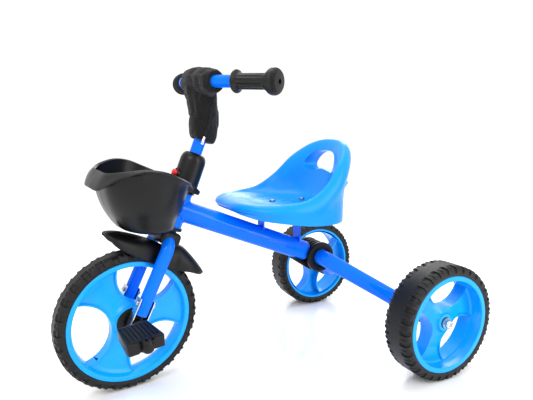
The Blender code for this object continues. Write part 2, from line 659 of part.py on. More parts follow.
def seat_shell(world):
    """Bucket seat: a dished pan with a rolled rim, an open-bottomed skirt and a handle hole in its back."""
    centre = [Vector((0, 0, 1 * MM))] * len(seat_ring(SEAT_CREST))
    roof = 44 * MM
    rings = [
        [c + Vector((p.x, p.y, 0)) * 0.02 for p, c in zip(seat_ring(SEAT_FLAT), centre)],
        seat_ring(SEAT_FLAT),
        seat_ring(SEAT_PAN),
        seat_ring(SEAT_INNER),
        seat_ring(SEAT_CREST),
        seat_ring(SEAT_SHOULDER),
        seat_ring(SEAT_SKIRT),
        seat_ring(SEAT_SKIRT, inset=SEAT_WALL),
        seat_ring(SEAT_SHOULDER, inset=SEAT_WALL, drop=6 * MM, top=roof - 6 * MM),
        seat_ring(SEAT_INNER, inset=-3 * MM, drop=SEAT_WALL + 1 * MM, top=roof),
        seat_ring(SEAT_PAN, inset=2 * MM, drop=SEAT_WALL + 1 * MM),
        seat_ring(SEAT_FLAT, drop=SEAT_WALL + 1 * MM),
        [c + Vector((p.x * 0.02, p.y * 0.02, -SEAT_WALL - 1 * MM)) for p, c in zip(seat_ring(SEAT_FLAT), centre)],
    ]
    obj = loft("seat_shell", rings, "seat_blue")
    half = [(x * MM, z * MM) for x, z in SEAT_HOLE]
    outline = half + [(-x, z) for x, z in half[-2:0:-1]]
    rings = [[(x, y, z) for x, z in outline] for y in (60 * MM, 180 * MM)]
    combine(obj, loft("hole", rings), "DIFFERENCE")
    for _, y in BOLTS:
        hole = pin("hole", round_hole(BOLT_RADIUS, GAP, 12), -30 * MM, 30 * MM, 12, axis="Z")
        moved(hole, (0, y - SEAT_Y, 0))
        combine(obj, hole, "DIFFERENCE")
    obj.data.transform(Matrix.Translation((0, SEAT_Y + CHASSIS_Y, SEAT_Z)))
    obj.parent = world


# ---- Shapes of the front plastics --------------------------------------------------------------------------

# Basket in the steering frame, half rings in mm from the front middle, round the left side, to the middle
# of the wall that faces the column.
BASKET_CREST = [
    (0, -146, 342), (35, -145, 343), (62, -130, 354), (78, -105, 368), (86, -78, 374), (82, -50, 373),
    (64, -26, 371), (45, -13, 368), (31, -5, 366), (19, -22, 366), (0, -30, 366),
]
BASKET_LIP = [
    (0, -152, 317), (37, -149, 319), (67, -137, 341), (83, -109, 364), (90, -79, 371), (85, -47, 370),
    (66, -23, 368), (46, -10, 365), (33, -1, 363), (18, -20, 363), (0, -28, 363),
]
BASKET_MID = [
    (0, -128, 302), (36, -124, 303), (60, -108, 308), (72, -86, 314), (76, -62, 320), (70, -40, 324),
    (56, -22, 327), (42, -13, 328), (31, -8, 328), (19, -23, 328), (0, -30, 328),
]
BASKET_LOW = [
    (0, -108, 280), (32, -104, 281), (52, -90, 286), (62, -70, 291), (64, -50, 296), (58, -32, 300),
    (47, -20, 303), (38, -14, 305), (30, -11, 306), (19, -24, 307), (0, -30, 308),
]
BASKET_BOTTOM = [
    (0, -84, 266), (24, -81, 267), (42, -69, 270), (50, -54, 274), (50, -40, 278), (45, -27, 282),
    (39, -20, 284), (33, -16, 285), (27, -14, 286), (17, -25, 287), (0, -30, 288),
]
BASKET_MIDDLE = Vector((0, -56, 276)) * MM

# Mudguard: place along and height of its crown line, half width, droop of its edges, set-back of its edges
FENDER_WALL = 2.5 * MM
FENDER = [
    (-107 * MM, 253 * MM, 10 * MM, 3 * MM, 1 * MM),
    (-102 * MM, 256 * MM, 19 * MM, 9 * MM, 3 * MM),
    (-86 * MM, 260 * MM, 26 * MM, 20 * MM, 0),
    (-64 * MM, 261.5 * MM, 27.5 * MM, 27 * MM, 0),
    (-36 * MM, 261 * MM, 25.5 * MM, 32 * MM, 0),
    (-14 * MM, 257.5 * MM, 22.5 * MM, 32 * MM, 0),
    (6 * MM, 256 * MM, 21.5 * MM, 32 * MM, 0),
    (20 * MM, 262 * MM, 21.5 * MM, 40 * MM, 0),
    (32 * MM, 262 * MM, 24 * MM, 38 * MM, 0),
    (52 * MM, 252 * MM, 26 * MM, 26 * MM, 0),
    (72 * MM, 239 * MM, 23 * MM, 14 * MM, -2 * MM),
    (86 * MM, 229 * MM, 13 * MM, 5 * MM, -4 * MM),
    (90 * MM, 226 * MM, 5 * MM, 2 * MM, -3 * MM),
]

# Fabric sleeve: along the crossbar (place, half depth, half height in mm), then down the stem (set-back,
# height, half width, half depth in mm)
PAD_ACROSS = [
    (-39, 13, 13), (-34, 18, 18), (-20, 21.5, 22), (0, 22.5, 23.5), (28, 21.5, 22), (50, 19.5, 19),
    (58, 16, 16),
]
PAD_DOWN = [
    (3, 447, 23, 18), (1.5, 458, 24.5, 20), (-4, 478, 25.5, 23), (-15, 500, 29, 25), (-26, 517, 34, 25.5),
    (-33, 530, 37, 24), (-36, 538, 36, 21),
]
ZIP_AT = Vector((26.0, -7, 443)) * MM


# ---- Parts that steer --------------------------------------------------------------------------------------


def leg_line():
    """The steering parts' frame at the front axle, with Z along the fork legs."""
    tilt = atan2(FORK_OFFSET - FORK_CROWN_BACK, FORK_CROWN_UP - AXLE_UP)
    return Matrix.Translation((0, -FORK_OFFSET, AXLE_UP)) @ Matrix.Rotation(-tilt, 4, "X")


LEG = leg_line()


def fork_body(name, spare):
    """The fork's outer shape, grown by spare: an inverted U of tube with the steerer on its crown."""
    high = (FORK_CROWN_UP - AXLE_UP) / LEG[2][2]
    low = LEG @ Vector((FORK_HALF_SPAN, 0, FORK_LEG_END))
    top = LEG @ Vector((FORK_HALF_SPAN, 0, high))
    points = [low, top, Vector((-top.x, top.y, top.z)), Vector((-low.x, low.y, low.z))]
    path = rounded(points, FORK_BEND, 4)
    obj = bar(name, path, FORK_TUBE_RADIUS + spare, 12)
    low_end = FORK_CROWN_UP - 4 * MM
    steerer = pin("steerer", STEERER_RADIUS + spare, low_end, STEERER_TOP, 16, axis="Z")
    return combine(obj, steerer, "UNION")


def fork(steering):
    obj = fork_body("fork", 0)
    bore = pin("bore", round_hole(STEM_RADIUS, GAP, 16), STEM_BOTTOM - 6 * MM, STEERER_TOP + 5 * MM, 16, axis="Z")
    combine(obj, bore, "DIFFERENCE")
    hole = pin("hole", round_hole(SHANK_RADIUS, RUNNING, 12), -20 * MM, -5 * MM, 12, axis="Y")
    combine(obj, moved(hole, (0, 0, BUTTON_UP)), "DIFFERENCE")
    for side in (1, -1):
        hole = pin("hole", round_hole(BOLT_RADIUS, GAP, 12), -30 * MM, 30 * MM, 12, axis="Y")
        moved(hole, (side * FORK_HALF_SPAN, 0, CLIP_BOLT_UP))
        hole.data.transform(LEG)
        combine(obj, hole, "DIFFERENCE")
        inner = FORK_TUBE_RADIUS - FORK_TUBE_WALL
        hollow = pin("hollow", inner, FORK_LEG_END - 5 * MM, FORK_LEG_END + 60 * MM, 12, axis="Z")
        moved(hollow, (side * FORK_HALF_SPAN, 0, 0))
        hollow.data.transform(LEG)
        combine(obj, hollow, "DIFFERENCE")
    obj.parent = steering


def crown_cover(steering):
    """Plastic hood over the fork's crown."""
    size = (60 * MM, 37 * MM, 21.5 * MM)
    obj = block("crown_cover", size, (0, -FORK_CROWN_BACK + 2 * MM, FORK_CROWN_UP + 3.2 * MM), "black", None, 5 * MM)
    combine(obj, fork_body("room", 0.4 * MM), "DIFFERENCE")
    obj.parent = steering


def mudguard(steering):
    """Thin shell over the front tyre: a blunt nose, a waist between the fork legs and a drooping tail."""
    sides = 6
    rings = []
    for y, z, half, droop, lift in spline_rows(FENDER, 2):
        outer = []
        inner = []
        for i in range(sides + 1):
            a = pi * i / sides
            x = -half * cos(a)
            drop = droop * (1 - sin(a) ** 0.8)
            outer.append((x, y + lift * (1 - sin(a)), z - drop))
            shrink = 1 - FENDER_WALL / half
            inner.append((x * shrink, y + lift * (1 - sin(a)), z - drop - FENDER_WALL))
        rings.append(outer + inner[::-1])
    obj = loft("mudguard", rings, "black")
    combine(obj, fork_body("room", 0.5 * MM), "DIFFERENCE")
    obj.parent = steering


def column_cover(steering):
    """Domed cap round the steerer, with the hole that the button works in."""
    segments = 20
    steerer = round_hole(STEERER_RADIUS, GAP, segments)
    stem = round_hole(STEM_RADIUS, GAP, segments)
    low = COVER_BOTTOM
    outline = [(steerer, low), (COVER_RADIUS, low), (COVER_RADIUS, COVER_TOP - 16 * MM)]
    for i in range(1, 5):
        a = pi / 2 * i / 4
        outline.append((COVER_RADIUS - 9 * MM * (1 - cos(a)), COVER_TOP - 16 * MM + 16 * MM * sin(a)))
    outline += [(stem, COVER_TOP), (stem, STEERER_TOP + GAP), (steerer, STEERER_TOP + GAP)]
    obj = lathe("column_cover", outline, segments, "black", None, "Z")
    head = pin("hole", round_hole(BUTTON_RADIUS, RUNNING, 16), -30 * MM, -BUTTON_FLOOR, 16, axis="Y")
    combine(obj, moved(head, (0, 0, BUTTON_UP)), "DIFFERENCE")
    shank = pin("hole", round_hole(SHANK_RADIUS, RUNNING, 12), -30 * MM, -5 * MM, 12, axis="Y")
    combine(obj, moved(shank, (0, 0, BUTTON_UP)), "DIFFERENCE")
    obj.parent = steering


def release_button(button):
    """Red snap button: its head shows in the cover and its shank locks the stem in the steerer."""
    back = -BUTTON_FLOOR - GAP - BUTTON_TRAVEL
    outline = [(0, -BUTTON_REACH), (BUTTON_RADIUS - 1 * MM, -BUTTON_REACH), (BUTTON_RADIUS, 1 * MM - BUTTON_REACH)]
    outline += [(BUTTON_RADIUS, back), (SHANK_RADIUS, back), (SHANK_RADIUS, -6.5 * MM), (0, -6.5 * MM)]
    lathe("release_button", outline, 16, "red", button, "Y")


def basket(steering):
    """Tub in front of the column: hollow, with a drooping front lip and a collar round the column cover."""
    rings = [
        offset_ring([p + (BASKET_MIDDLE - p) * 0.96 for p in ring_of(BASKET_BOTTOM)], 0),
        ring_of(BASKET_BOTTOM),
        ring_of(BASKET_LOW),
        ring_of(BASKET_MID),
        offset_ring(ring_of(BASKET_CREST), 2 * MM, -8 * MM),
        offset_ring(ring_of(BASKET_LIP), BASKET_WALL, -1 * MM),
        ring_of(BASKET_LIP),
        ring_of(BASKET_CREST),
        offset_ring(ring_of(BASKET_CREST), 4.5 * MM, -1 * MM),
        offset_ring(ring_of(BASKET_CREST), 5.5 * MM, -9 * MM),
        offset_ring(ring_of(BASKET_MID), BASKET_WALL, 0),
        offset_ring(ring_of(BASKET_LOW), BASKET_WALL, 1 * MM),
        offset_ring(ring_of(BASKET_BOTTOM), BASKET_WALL, BASKET_WALL),
        offset_ring([p + (BASKET_MIDDLE - p) * 0.96 for p in ring_of(BASKET_BOTTOM)], 0, BASKET_WALL),
    ]
    obj = loft("basket", rings, "black")
    outer = pin("collar", COVER_RADIUS + 7 * MM, COVER_BOTTOM + 0.5 * MM, 364 * MM, 24, axis="Z")
    combine(obj, outer, "UNION")
    bore = pin("bore", round_hole(COVER_RADIUS, GAP, 24), 240 * MM, 400 * MM, 24, axis="Z")
    combine(obj, bore, "DIFFERENCE")
    obj.parent = steering


def arm(side):
    """The frame of one swept-back arm of the crossbar: its X runs outboard from the bend, along the arm."""
    turn = Matrix.Rotation(side * BAR_SWEEP, 4, "Z") @ Matrix.Rotation(-side * BAR_RISE, 4, "Y")
    return Matrix.Translation((side * BAR_HALF_STRAIGHT, -HANDLEBAR_REACH, HANDLEBAR_UP)) @ turn


def handlebar_body(name, spare):
    """Outer shape of the stem and the swept crossbar, grown by spare."""
    top = Vector((0, -HANDLEBAR_REACH, HANDLEBAR_UP))
    below = top - Vector((0, 0, 3 * MM))
    stem = rounded([Vector((0, 0, STEM_BOTTOM)), Vector((0, 0, 455 * MM)), below], 40 * MM, 3)
    obj = bar(name, stem, STEM_RADIUS + spare, 14)
    end = ARM_LENGTH - 8 * MM + spare
    ends = [arm(side) @ Vector((side * end, 0, 0)) for side in (1, -1)]
    bends = [arm(side).translation for side in (1, -1)]
    cross = rounded([ends[0], bends[0], bends[1], ends[1]], BAR_BEND, 3)
    return combine(obj, bar("cross", cross, BAR_RADIUS + spare, 12), "UNION")


def handlebar(steering):
    """Stem and crossbar of steel tube, welded."""
    obj = handlebar_body("handlebar", 0)
    for side in (1, -1):
        low = BAR_BEND * tan(arm_turn() / 2) + 2 * MM
        bore = pin("bore", BAR_RADIUS - STEM_WALL, side * low, side * (ARM_LENGTH + 5 * MM), 14)
        bore.data.transform(arm(side))
        combine(obj, bore, "DIFFERENCE")
    bore = pin("bore", STEM_RADIUS - STEM_WALL, STEM_BOTTOM - 5 * MM, 436 * MM, 14, axis="Z")
    combine(obj, bore, "DIFFERENCE")
    hole = pin("hole", round_hole(SHANK_RADIUS, RUNNING, 12), -20 * MM, -4 * MM, 12, axis="Y")
    combine(obj, moved(hole, (0, 0, BUTTON_UP)), "DIFFERENCE")
    obj.parent = steering


def arm_turn():
    """Angle between an arm and the straight middle of the crossbar."""
    return (arm(1).to_3x3() @ Vector((1, 0, 0))).angle(Vector((1, 0, 0)))


def handlebar_pad(steering):
    """Padded fabric sleeve round the joint of the stem and the crossbar."""
    rings = []
    for x, half_y, half_z in PAD_ACROSS:
        turns = [2 * pi * k / 12 for k in range(12)]
        rings.append([
            (x * MM, -HANDLEBAR_REACH + half_y * MM * cos(a), HANDLEBAR_UP + half_z * MM * sin(a)) for a in turns
        ])
    obj = loft("handlebar_pad", rings, "fabric_black")
    rings = []
    for y, z, half_x, half_y in PAD_DOWN:
        turns = [2 * pi * k / 12 for k in range(12)]
        rings.append([
            (half_x * MM * spread(cos(a)), (y + half_y * spread(sin(a))) * MM, z * MM) for a in turns
        ])
    combine(obj, loft("apron", rings), "UNION")
    combine(obj, handlebar_body("room", GAP), "DIFFERENCE")
    obj.parent = steering


def spread(value):
    """Squares off a circle a little."""
    return abs(value) ** 0.8 * (1 if value >= 0 else -1)


def grips(steering):
    """Ribbed grips, each with a flange inboard, a ball end and a small hole in its end."""
    segments = 12
    bore = round_hole(BAR_RADIUS, GAP, segments)
    bar_end = ARM_LENGTH - 8 * MM + GAP
    last = ARM_LENGTH
    for name, side in (("grip_left", 1), ("grip_right", -1)):
        outline = [(bore, GRIP_FLANGE_IN), (GRIP_FLANGE_RADIUS, GRIP_FLANGE_IN)]
        outline += [(GRIP_FLANGE_RADIUS, GRIP_FLANGE_IN + 4 * MM), (GRIP_RADIUS, GRIP_FLANGE_IN + 7 * MM)]
        pitch = (last - 24 * MM - GRIP_FLANGE_IN - 7 * MM) / GRIP_RIBS
        for i in range(GRIP_RIBS):
            x = GRIP_FLANGE_IN + 7 * MM + pitch * i
            outline += [(GRIP_RADIUS, x + pitch * 0.25), (GRIP_RADIUS + 1.2 * MM, x + pitch * 0.45)]
            outline += [(GRIP_RADIUS + 1.2 * MM, x + pitch * 0.75), (GRIP_RADIUS, x + pitch)]
        for i in range(4):
            a = pi * (0.12 + 0.72 * i / 3)
            outline.append((GRIP_BALL_RADIUS * sin(a) ** 0.6, last - 11 * MM - 11 * MM * cos(a)))
        outline += [(12 * MM, last), (4 * MM, last), (4 * MM, bar_end), (bore, bar_end)]
        obj = lathe(name, [(r, side * x) for r, x in outline], segments, "grip_black")
        obj.data.transform(arm(side))
        obj.parent = steering


def zip_slider(steering):
    """Metal puller hanging at the sleeve's lower edge, on its left side."""
    obj = block("zip_slider", (2 * MM, 5 * MM, 14 * MM), ZIP_AT, "chrome", None, 0.6 * MM)
    obj.parent = steering


def axle_bearings(steering):
    """On each side: the bearing, its steel clip under the fork leg, and the clip's bolt and nut."""
    for word, side in (("left", 1), ("right", -1)):
        middle = side * FORK_HALF_SPAN
        segments = 16
        bore = round_hole(CRANK_ROD_RADIUS, RUNNING, segments)
        flange = BEARING_RADIUS + CLIP_THICKNESS
        outline = [(bore, -10 * MM), (flange, -10 * MM), (flange, -8.3 * MM), (BEARING_RADIUS, -8.3 * MM)]
        outline += [(BEARING_RADIUS, 8.3 * MM), (flange, 8.3 * MM), (flange, 10 * MM), (bore, 10 * MM)]
        bearing = lathe("axle_bearing_" + word, outline, segments)
        inner = FORK_TUBE_RADIUS + GAP
        outer = inner + CLIP_THICKNESS
        top = CLIP_BOLT_UP + 9 * MM
        turns = [pi * i / 10 for i in range(11)]
        strap = [(outer, top)] + [(outer * cos(a), -outer * sin(a)) for a in turns] + [(-outer, top)]
        strap += [(-inner, top)] + [(-inner * cos(a), -inner * sin(a)) for a in turns] + [(inner, top)]
        clip = prism("axle_clip_" + word, strap, -CLIP_WIDTH / 2, CLIP_WIDTH / 2, "chrome")
        hole = pin("hole", round_hole(BOLT_RADIUS, GAP, 12), -30 * MM, 30 * MM, 12, axis="Y")
        combine(clip, moved(hole, (0, 0, CLIP_BOLT_UP)), "DIFFERENCE")
        face = outer + GAP
        outline = [(0, -face - 3 * MM), (4.5 * MM, -face - 3 * MM), (4.5 * MM, -face), (BOLT_RADIUS, -face)]
        outline += [(BOLT_RADIUS, face + 5 * MM), (0, face + 5 * MM)]
        bolt = lathe("clip_bolt_" + word, outline, 12, "chrome", None, "Y")
        nut = ring("clip_nut_" + word, round_hole(BOLT_RADIUS, GAP, 6), 4.6 * MM, face, face + 3.5 * MM, 6, "chrome", None, "Y")
        moved(bolt, (0, 0, CLIP_BOLT_UP))
        moved(nut, (0, 0, CLIP_BOLT_UP))
        for obj in (bearing, clip, bolt, nut):
            obj.data.transform(LEG @ Matrix.Translation((middle, 0, 0)))
            obj.parent = steering


# ---- Wheels and pedals -------------------------------------------------------------------------------------


def window_tool(name, index, first, radius, circle, limit, low, high):
    """One of a wheel's three round windows as a solid, cut off where it meets the rim."""
    angle = first + 2 * pi * index / 3
    tool = moved(pin(name, radius, low, high, 16), (0, circle * cos(angle), circle * sin(angle)))
    return combine(tool, pin("keep", limit, low - 1 * MM, high + 1 * MM, WHEEL_SEGMENTS), "INTERSECT")


def pierce(obj, first, radius, circle, limit, low, high):
    """Cuts three windows through a wheel."""
    for i in range(3):
        combine(obj, window_tool("hole", i, first, radius, circle, limit, low, high), "DIFFERENCE")


def front_wheel(wheel):
    half = FRONT_WIDTH / 2
    seat = FRONT_RIM_RADIUS - GAP
    inner = FRONT_RIM_RADIUS - RIM_LIP
    bore = round_hole(CRANK_ROD_RADIUS, GAP, 20)
    lathe("front_tyre", FRONT_PROFILE, WHEEL_SEGMENTS, "tyre_black", wheel)
    side = [(seat, half - 0.6 * MM), (inner, half - 0.6 * MM), (inner - 1.5 * MM, 5.5 * MM)]
    side += [(31 * MM, 7 * MM), (25 * MM, half - 0.3 * MM), (bore, half - 0.3 * MM)]
    outline = side + [(r, -x) for r, x in side[::-1]]
    rim = lathe("front_rim", outline, WHEEL_SEGMENTS, "rim_blue")
    pierce(rim, FRONT_HOLE_ANGLE, FRONT_HOLE_RADIUS, FRONT_HOLE_CIRCLE, inner - 3 * MM, -30 * MM, 30 * MM)
    rim.parent = wheel
    for word, side in (("left", 1), ("right", -1)):
        low = half
        high = half + 3 * MM
        ring("hub_cover_" + word, bore, HUB_COVER_RADIUS, side * low, side * high, 20, "black", wheel)
    arm = 38 * MM
    knee = PEDAL_MIDDLE - PEDAL_WIDTH / 2 - 6 * MM
    end = PEDAL_MIDDLE + PEDAL_WIDTH / 2 + 6 * MM
    throw = Vector((0, cos(CRANK_ANGLE), sin(CRANK_ANGLE))) * CRANK_THROW
    left = [Vector((end, 0, 0)) + throw, Vector((knee, 0, 0)) + throw, Vector((arm + 12 * MM, 0, 0))]
    points = left + [-p for p in left[::-1]]
    bar("crank_axle", rounded(points, 9 * MM, 3), CRANK_ROD_RADIUS, 12, "chrome", wheel)


def pedal(word, side, frame):
    """Pedal block with two tread bars on each face, and the cap on its spindle's end."""
    middle = side * PEDAL_MIDDLE
    size = (PEDAL_WIDTH, PEDAL_LENGTH, PEDAL_THICKNESS - 4 * MM)
    obj = block("pedal_" + word, size, (middle, 0, 0), "black", None, 2.5 * MM)
    for y in (-19 * MM, 0, 19 * MM):
        tread = (PEDAL_WIDTH - 8 * MM, 9 * MM, PEDAL_THICKNESS)
        combine(obj, block("tread", tread, (middle, y, 0), "black", None, 1.0 * MM), "UNION")
    bore = pin("bore", round_hole(CRANK_ROD_RADIUS, RUNNING, 20), -0.2, 0.2, 20)
    combine(obj, bore, "DIFFERENCE")
    obj.parent = frame


def pedal_cap(word, side, wheel):
    """Push-on cap that keeps the pedal on its spindle."""
    throw = Vector((0, cos(CRANK_ANGLE), sin(CRANK_ANGLE))) * CRANK_THROW * side
    low = PEDAL_MIDDLE + PEDAL_WIDTH / 2 + WHEEL_SIDE_PLAY
    high = low + 8 * MM
    end = PEDAL_MIDDLE + PEDAL_WIDTH / 2 + 6 * MM + GAP
    bore = round_hole(CRANK_ROD_RADIUS, GAP, 16)
    outline = [(bore, low), (9 * MM, low), (9 * MM, high - 2 * MM), (6 * MM, high), (0, high), (0, end)]
    outline += [(bore, end)]
    cap = lathe("pedal_cap_" + word, [(r, side * x) for r, x in outline], 16, "black")
    moved(cap, throw)
    cap.parent = wheel


def rear_wheel(word, side, wheel):
    """Wheel with a dished face outboard; its hub turns on the axle in a pressed bush."""
    half = REAR_WIDTH / 2
    seat = REAR_RIM_RADIUS - GAP
    wall = seat - 4.5 * MM
    lip = REAR_RIM_RADIUS - RIM_LIP
    bore = round_hole(REAR_BUSH_RADIUS, GAP, 20)
    nose = half - REAR_NOSE_SINK
    outline = [(seat, -half + 0.6 * MM), (seat, half - 0.6 * MM), (lip, half - 0.6 * MM), (lip, half - 5 * MM)]
    outline += [(wall, half - 8 * MM), (wall - 2 * MM, REAR_WEB_OUT), (34 * MM, REAR_WEB_OUT + 4 * MM)]
    outline += [(20 * MM, REAR_WEB_OUT + 9 * MM), (15 * MM, nose), (bore, nose), (bore, -half - 0.5 * MM)]
    outline += [(14 * MM, -half - 0.5 * MM), (16 * MM, REAR_WEB_OUT - 9 * MM), (34 * MM, REAR_WEB_OUT - 5 * MM)]
    outline += [(wall - 2 * MM, REAR_WEB_OUT - 6 * MM), (wall, REAR_WEB_OUT - 11 * MM), (wall, -half + 0.6 * MM)]
    rim = lathe("rear_rim_" + word, [(r, side * x) for r, x in outline], WHEEL_SEGMENTS, "rim_blue")
    near, far = side * (REAR_WEB_OUT - 3 * MM), side * (REAR_WEB_OUT - 22 * MM)
    low, high = min(near, far), max(near, far)
    for i in range(3):
        outside = REAR_HOLE_RADIUS + 3 * MM
        collar = window_tool("collar", i, REAR_HOLE_ANGLE, outside, REAR_HOLE_CIRCLE, wall + 1 * MM, low, high)
        combine(rim, collar, "UNION")
    limit = wall - 2.5 * MM
    pierce(rim, REAR_HOLE_ANGLE, REAR_HOLE_RADIUS, REAR_HOLE_CIRCLE, limit, -40 * MM, 40 * MM)
    rim.parent = wheel
    lathe("rear_tyre_" + word, REAR_PROFILE, WHEEL_SEGMENTS, "tyre_black", wheel)
    pin_hole = round_hole(REAR_PIN_RADIUS, RUNNING, 20)
    ring("rear_bush_" + word, pin_hole, REAR_BUSH_RADIUS, -side * half, side * (nose - 0.5 * MM), 20, "black", wheel)


# ---- Assembly ----------------------------------------------------------------------------------------------


def seat_bolts(world):
    """Screws down through the seat's pan into the two brackets."""
    for name, y in BOLTS:
        top = SEAT_Z + SEAT_PAN_TOP + GAP
        outline = [(0, 0), (6 * MM, 0), (6 * MM, 1.5 * MM), (3.5 * MM, 3 * MM), (0, 3 * MM)]
        outline = [(0, -14 * MM), (BOLT_RADIUS, -14 * MM), (BOLT_RADIUS, 0)] + outline[1:]
        obj = lathe(name, outline, 12, "chrome", None, "Z")
        moved(obj, (0, y + CHASSIS_Y, top))
        obj.parent = world


def settle(world):
    """Puts the tricycle's bounding box on the ground over the origin."""
    bpy.context.view_layer.update()
    corners = []
    for obj in bpy.data.objects:
        if obj.type == "MESH":
            corners += [obj.matrix_world @ v.co for v in obj.data.vertices]
    low = Vector([min(c[i] for c in corners) for i in range(3)])
    high = Vector([max(c[i] for c in corners) for i in range(3)])
    world.location = Vector((-(low.x + high.x) / 2, -(low.y + high.y) / 2, -low.z))
    bpy.context.view_layer.update()
    print("size", [round(v / MM, 2) for v in high - low])


def report_frames(frames):
    """Prints where each joint is, in millimetres."""
    for name, obj, axis in frames:
        place = obj.matrix_world.translation
        along = (obj.matrix_world.to_3x3() @ Vector(axis)).normalized()
        print("joint", name, [round(v / MM, 3) for v in place], [round(v, 6) for v in along])


def build():
    for obj in list(bpy.data.objects):
        bpy.data.objects.remove(obj)
    world = empty("tricycle")
    head = empty("head", world, HEAD)
    steering = empty("steering", head, Matrix.Rotation(REST_TURN, 4, "Z"))
    button = empty("button", steering, Matrix.Translation((0, 0, BUTTON_UP)))
    axle = empty("front_axle", steering, Matrix.Translation((0, -FORK_OFFSET, AXLE_UP)))
    throw = Vector((0, cos(CRANK_ANGLE), sin(CRANK_ANGLE))) * CRANK_THROW
    level = Matrix.Rotation(PEDAL_TILT, 4, "X")
    pedal_left = empty("pedal_frame_left", axle, Matrix.Translation(throw) @ level)
    pedal_right = empty("pedal_frame_right", axle, Matrix.Translation(-throw) @ level)
    rear = REAR_TRACK / 2
    rear_left = empty("rear_left", world, Matrix.Translation(REAR_AXLE + Vector((rear, 0, 0))))
    rear_right = empty("rear_right", world, Matrix.Translation(REAR_AXLE - Vector((rear, 0, 0))))

    main_frame(world)
    head_bushes(head)
    rear_axle_tube(world)
    axle_clamp(world)
    axle_collars(world)
    rear_axles(world)
    seat_shell(world)
    seat_bolts(world)

    fork(steering)
    crown_cover(steering)
    mudguard(steering)
    column_cover(steering)
    basket(steering)
    handlebar(steering)
    handlebar_pad(steering)
    grips(steering)
    zip_slider(steering)
    axle_bearings(steering)
    release_button(button)

    front_wheel(axle)
    pedal("left", 1, pedal_left)
    pedal("right", -1, pedal_right)
    pedal_cap("left", 1, axle)
    pedal_cap("right", -1, axle)
    rear_wheel("left", 1, rear_left)
    rear_wheel("right", -1, rear_right)

    settle(world)
    report_frames([
        ("steering", head, (0, 0, 1)),
        ("front_wheel_spin", axle, (1, 0, 0)),
        ("pedal_left_spin", pedal_left, (1, 0, 0)),
        ("pedal_right_spin", pedal_right, (1, 0, 0)),
        ("rear_wheel_left_spin", rear_left, (1, 0, 0)),
        ("rear_wheel_right_spin", rear_right, (1, 0, 0)),
        ("release_button_press", button, (0, 1, 0)),
    ])


build()
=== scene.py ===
"""Looks of the children's tricycle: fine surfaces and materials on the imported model.

The CAD frame is loaded and stays as it is. Each piece here stands for one or more of its nodes and rides on
the same body. Sizes repeat those of the CAD source; places come from the record's joints.
"""

import json
from math import atan2, cos, pi, radians, sin, tan

import bmesh
import bpy
from mathutils import Matrix, Vector, noise


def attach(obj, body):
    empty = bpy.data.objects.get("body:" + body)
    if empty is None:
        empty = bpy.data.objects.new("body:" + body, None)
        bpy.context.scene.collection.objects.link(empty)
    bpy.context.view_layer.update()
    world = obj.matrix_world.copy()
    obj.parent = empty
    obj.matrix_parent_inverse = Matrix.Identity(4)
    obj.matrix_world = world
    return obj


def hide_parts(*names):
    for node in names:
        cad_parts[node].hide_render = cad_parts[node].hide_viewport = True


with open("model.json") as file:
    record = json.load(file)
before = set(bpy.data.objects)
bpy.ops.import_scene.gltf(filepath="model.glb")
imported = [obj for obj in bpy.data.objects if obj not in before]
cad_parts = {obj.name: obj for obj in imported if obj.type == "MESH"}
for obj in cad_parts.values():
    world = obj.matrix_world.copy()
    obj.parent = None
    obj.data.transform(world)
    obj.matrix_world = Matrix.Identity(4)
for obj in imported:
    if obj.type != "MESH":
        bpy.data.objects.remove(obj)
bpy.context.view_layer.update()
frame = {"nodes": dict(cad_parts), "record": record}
MM = 0.001

# ---- Frames ------------------------------------------------------------------------------------------------

JOINTS = {joint["name"]: joint for joint in frame["record"]["behaviour"]["joints"]}


def place_of(name):
    return Vector(JOINTS[name]["pos_m"])


def axis_of(name):
    return Vector(JOINTS[name]["axis"]).normalized()


def basis(x, y, z, origin):
    """Matrix from a frame with these axes and origin."""
    matrix = Matrix((x, y, z)).transposed().to_4x4()
    matrix.translation = origin
    return matrix


UP = axis_of("steering")
ACROSS = axis_of("front_wheel_spin")
ORIGIN = place_of("steering")
STEER = basis(ACROSS, UP.cross(ACROSS), UP, ORIGIN)  # turns with the handlebar
HEAD = basis(Vector((1, 0, 0)), UP.cross(Vector((1, 0, 0))), UP, ORIGIN)  # stays with the frame
FRONT_AXLE = Matrix.Translation(place_of("front_wheel_spin")) @ STEER.to_3x3().to_4x4()
REAR_LEFT = Matrix.Translation(place_of("rear_wheel_left_spin"))
REAR_RIGHT = Matrix.Translation(place_of("rear_wheel_right_spin"))

MAIN_SLOPE = radians(22.0)
MAIN_AHEAD = Vector((0, cos(MAIN_SLOPE), -sin(MAIN_SLOPE)))
MAIN_START = HEAD @ Vector((0, 0, 321.3 * MM))
MAIN_END = MAIN_START + MAIN_AHEAD * (276.5 * MM)
CLAMP = MAIN_END + MAIN_AHEAD * (25.3 * MM)
SEAT = Matrix.Translation((0, CLAMP.y - 77.5 * MM, 300 * MM))
CHASSIS_Y = CLAMP.y - 127.5 * MM
FORK_OFFSET = 18.4 * MM
AXLE_UP = 121.4 * MM
CROWN_BACK = 7.0 * MM
CROWN_UP = 269.0 * MM
LEG_TILT = atan2(FORK_OFFSET - CROWN_BACK, CROWN_UP - AXLE_UP)
LEG = Matrix.Translation((0, -FORK_OFFSET, AXLE_UP)) @ Matrix.Rotation(-LEG_TILT, 4, "X")


# ---- Materials ---------------------------------------------------------------------------------------------


def srgb(red, green, blue):
    """Linear colour from the usual 0 to 255 values."""
    values = []
    for value in (red, green, blue):
        value /= 255
        values.append(value / 12.92 if value <= 0.04045 else ((value + 0.055) / 1.055) ** 2.4)
    return values


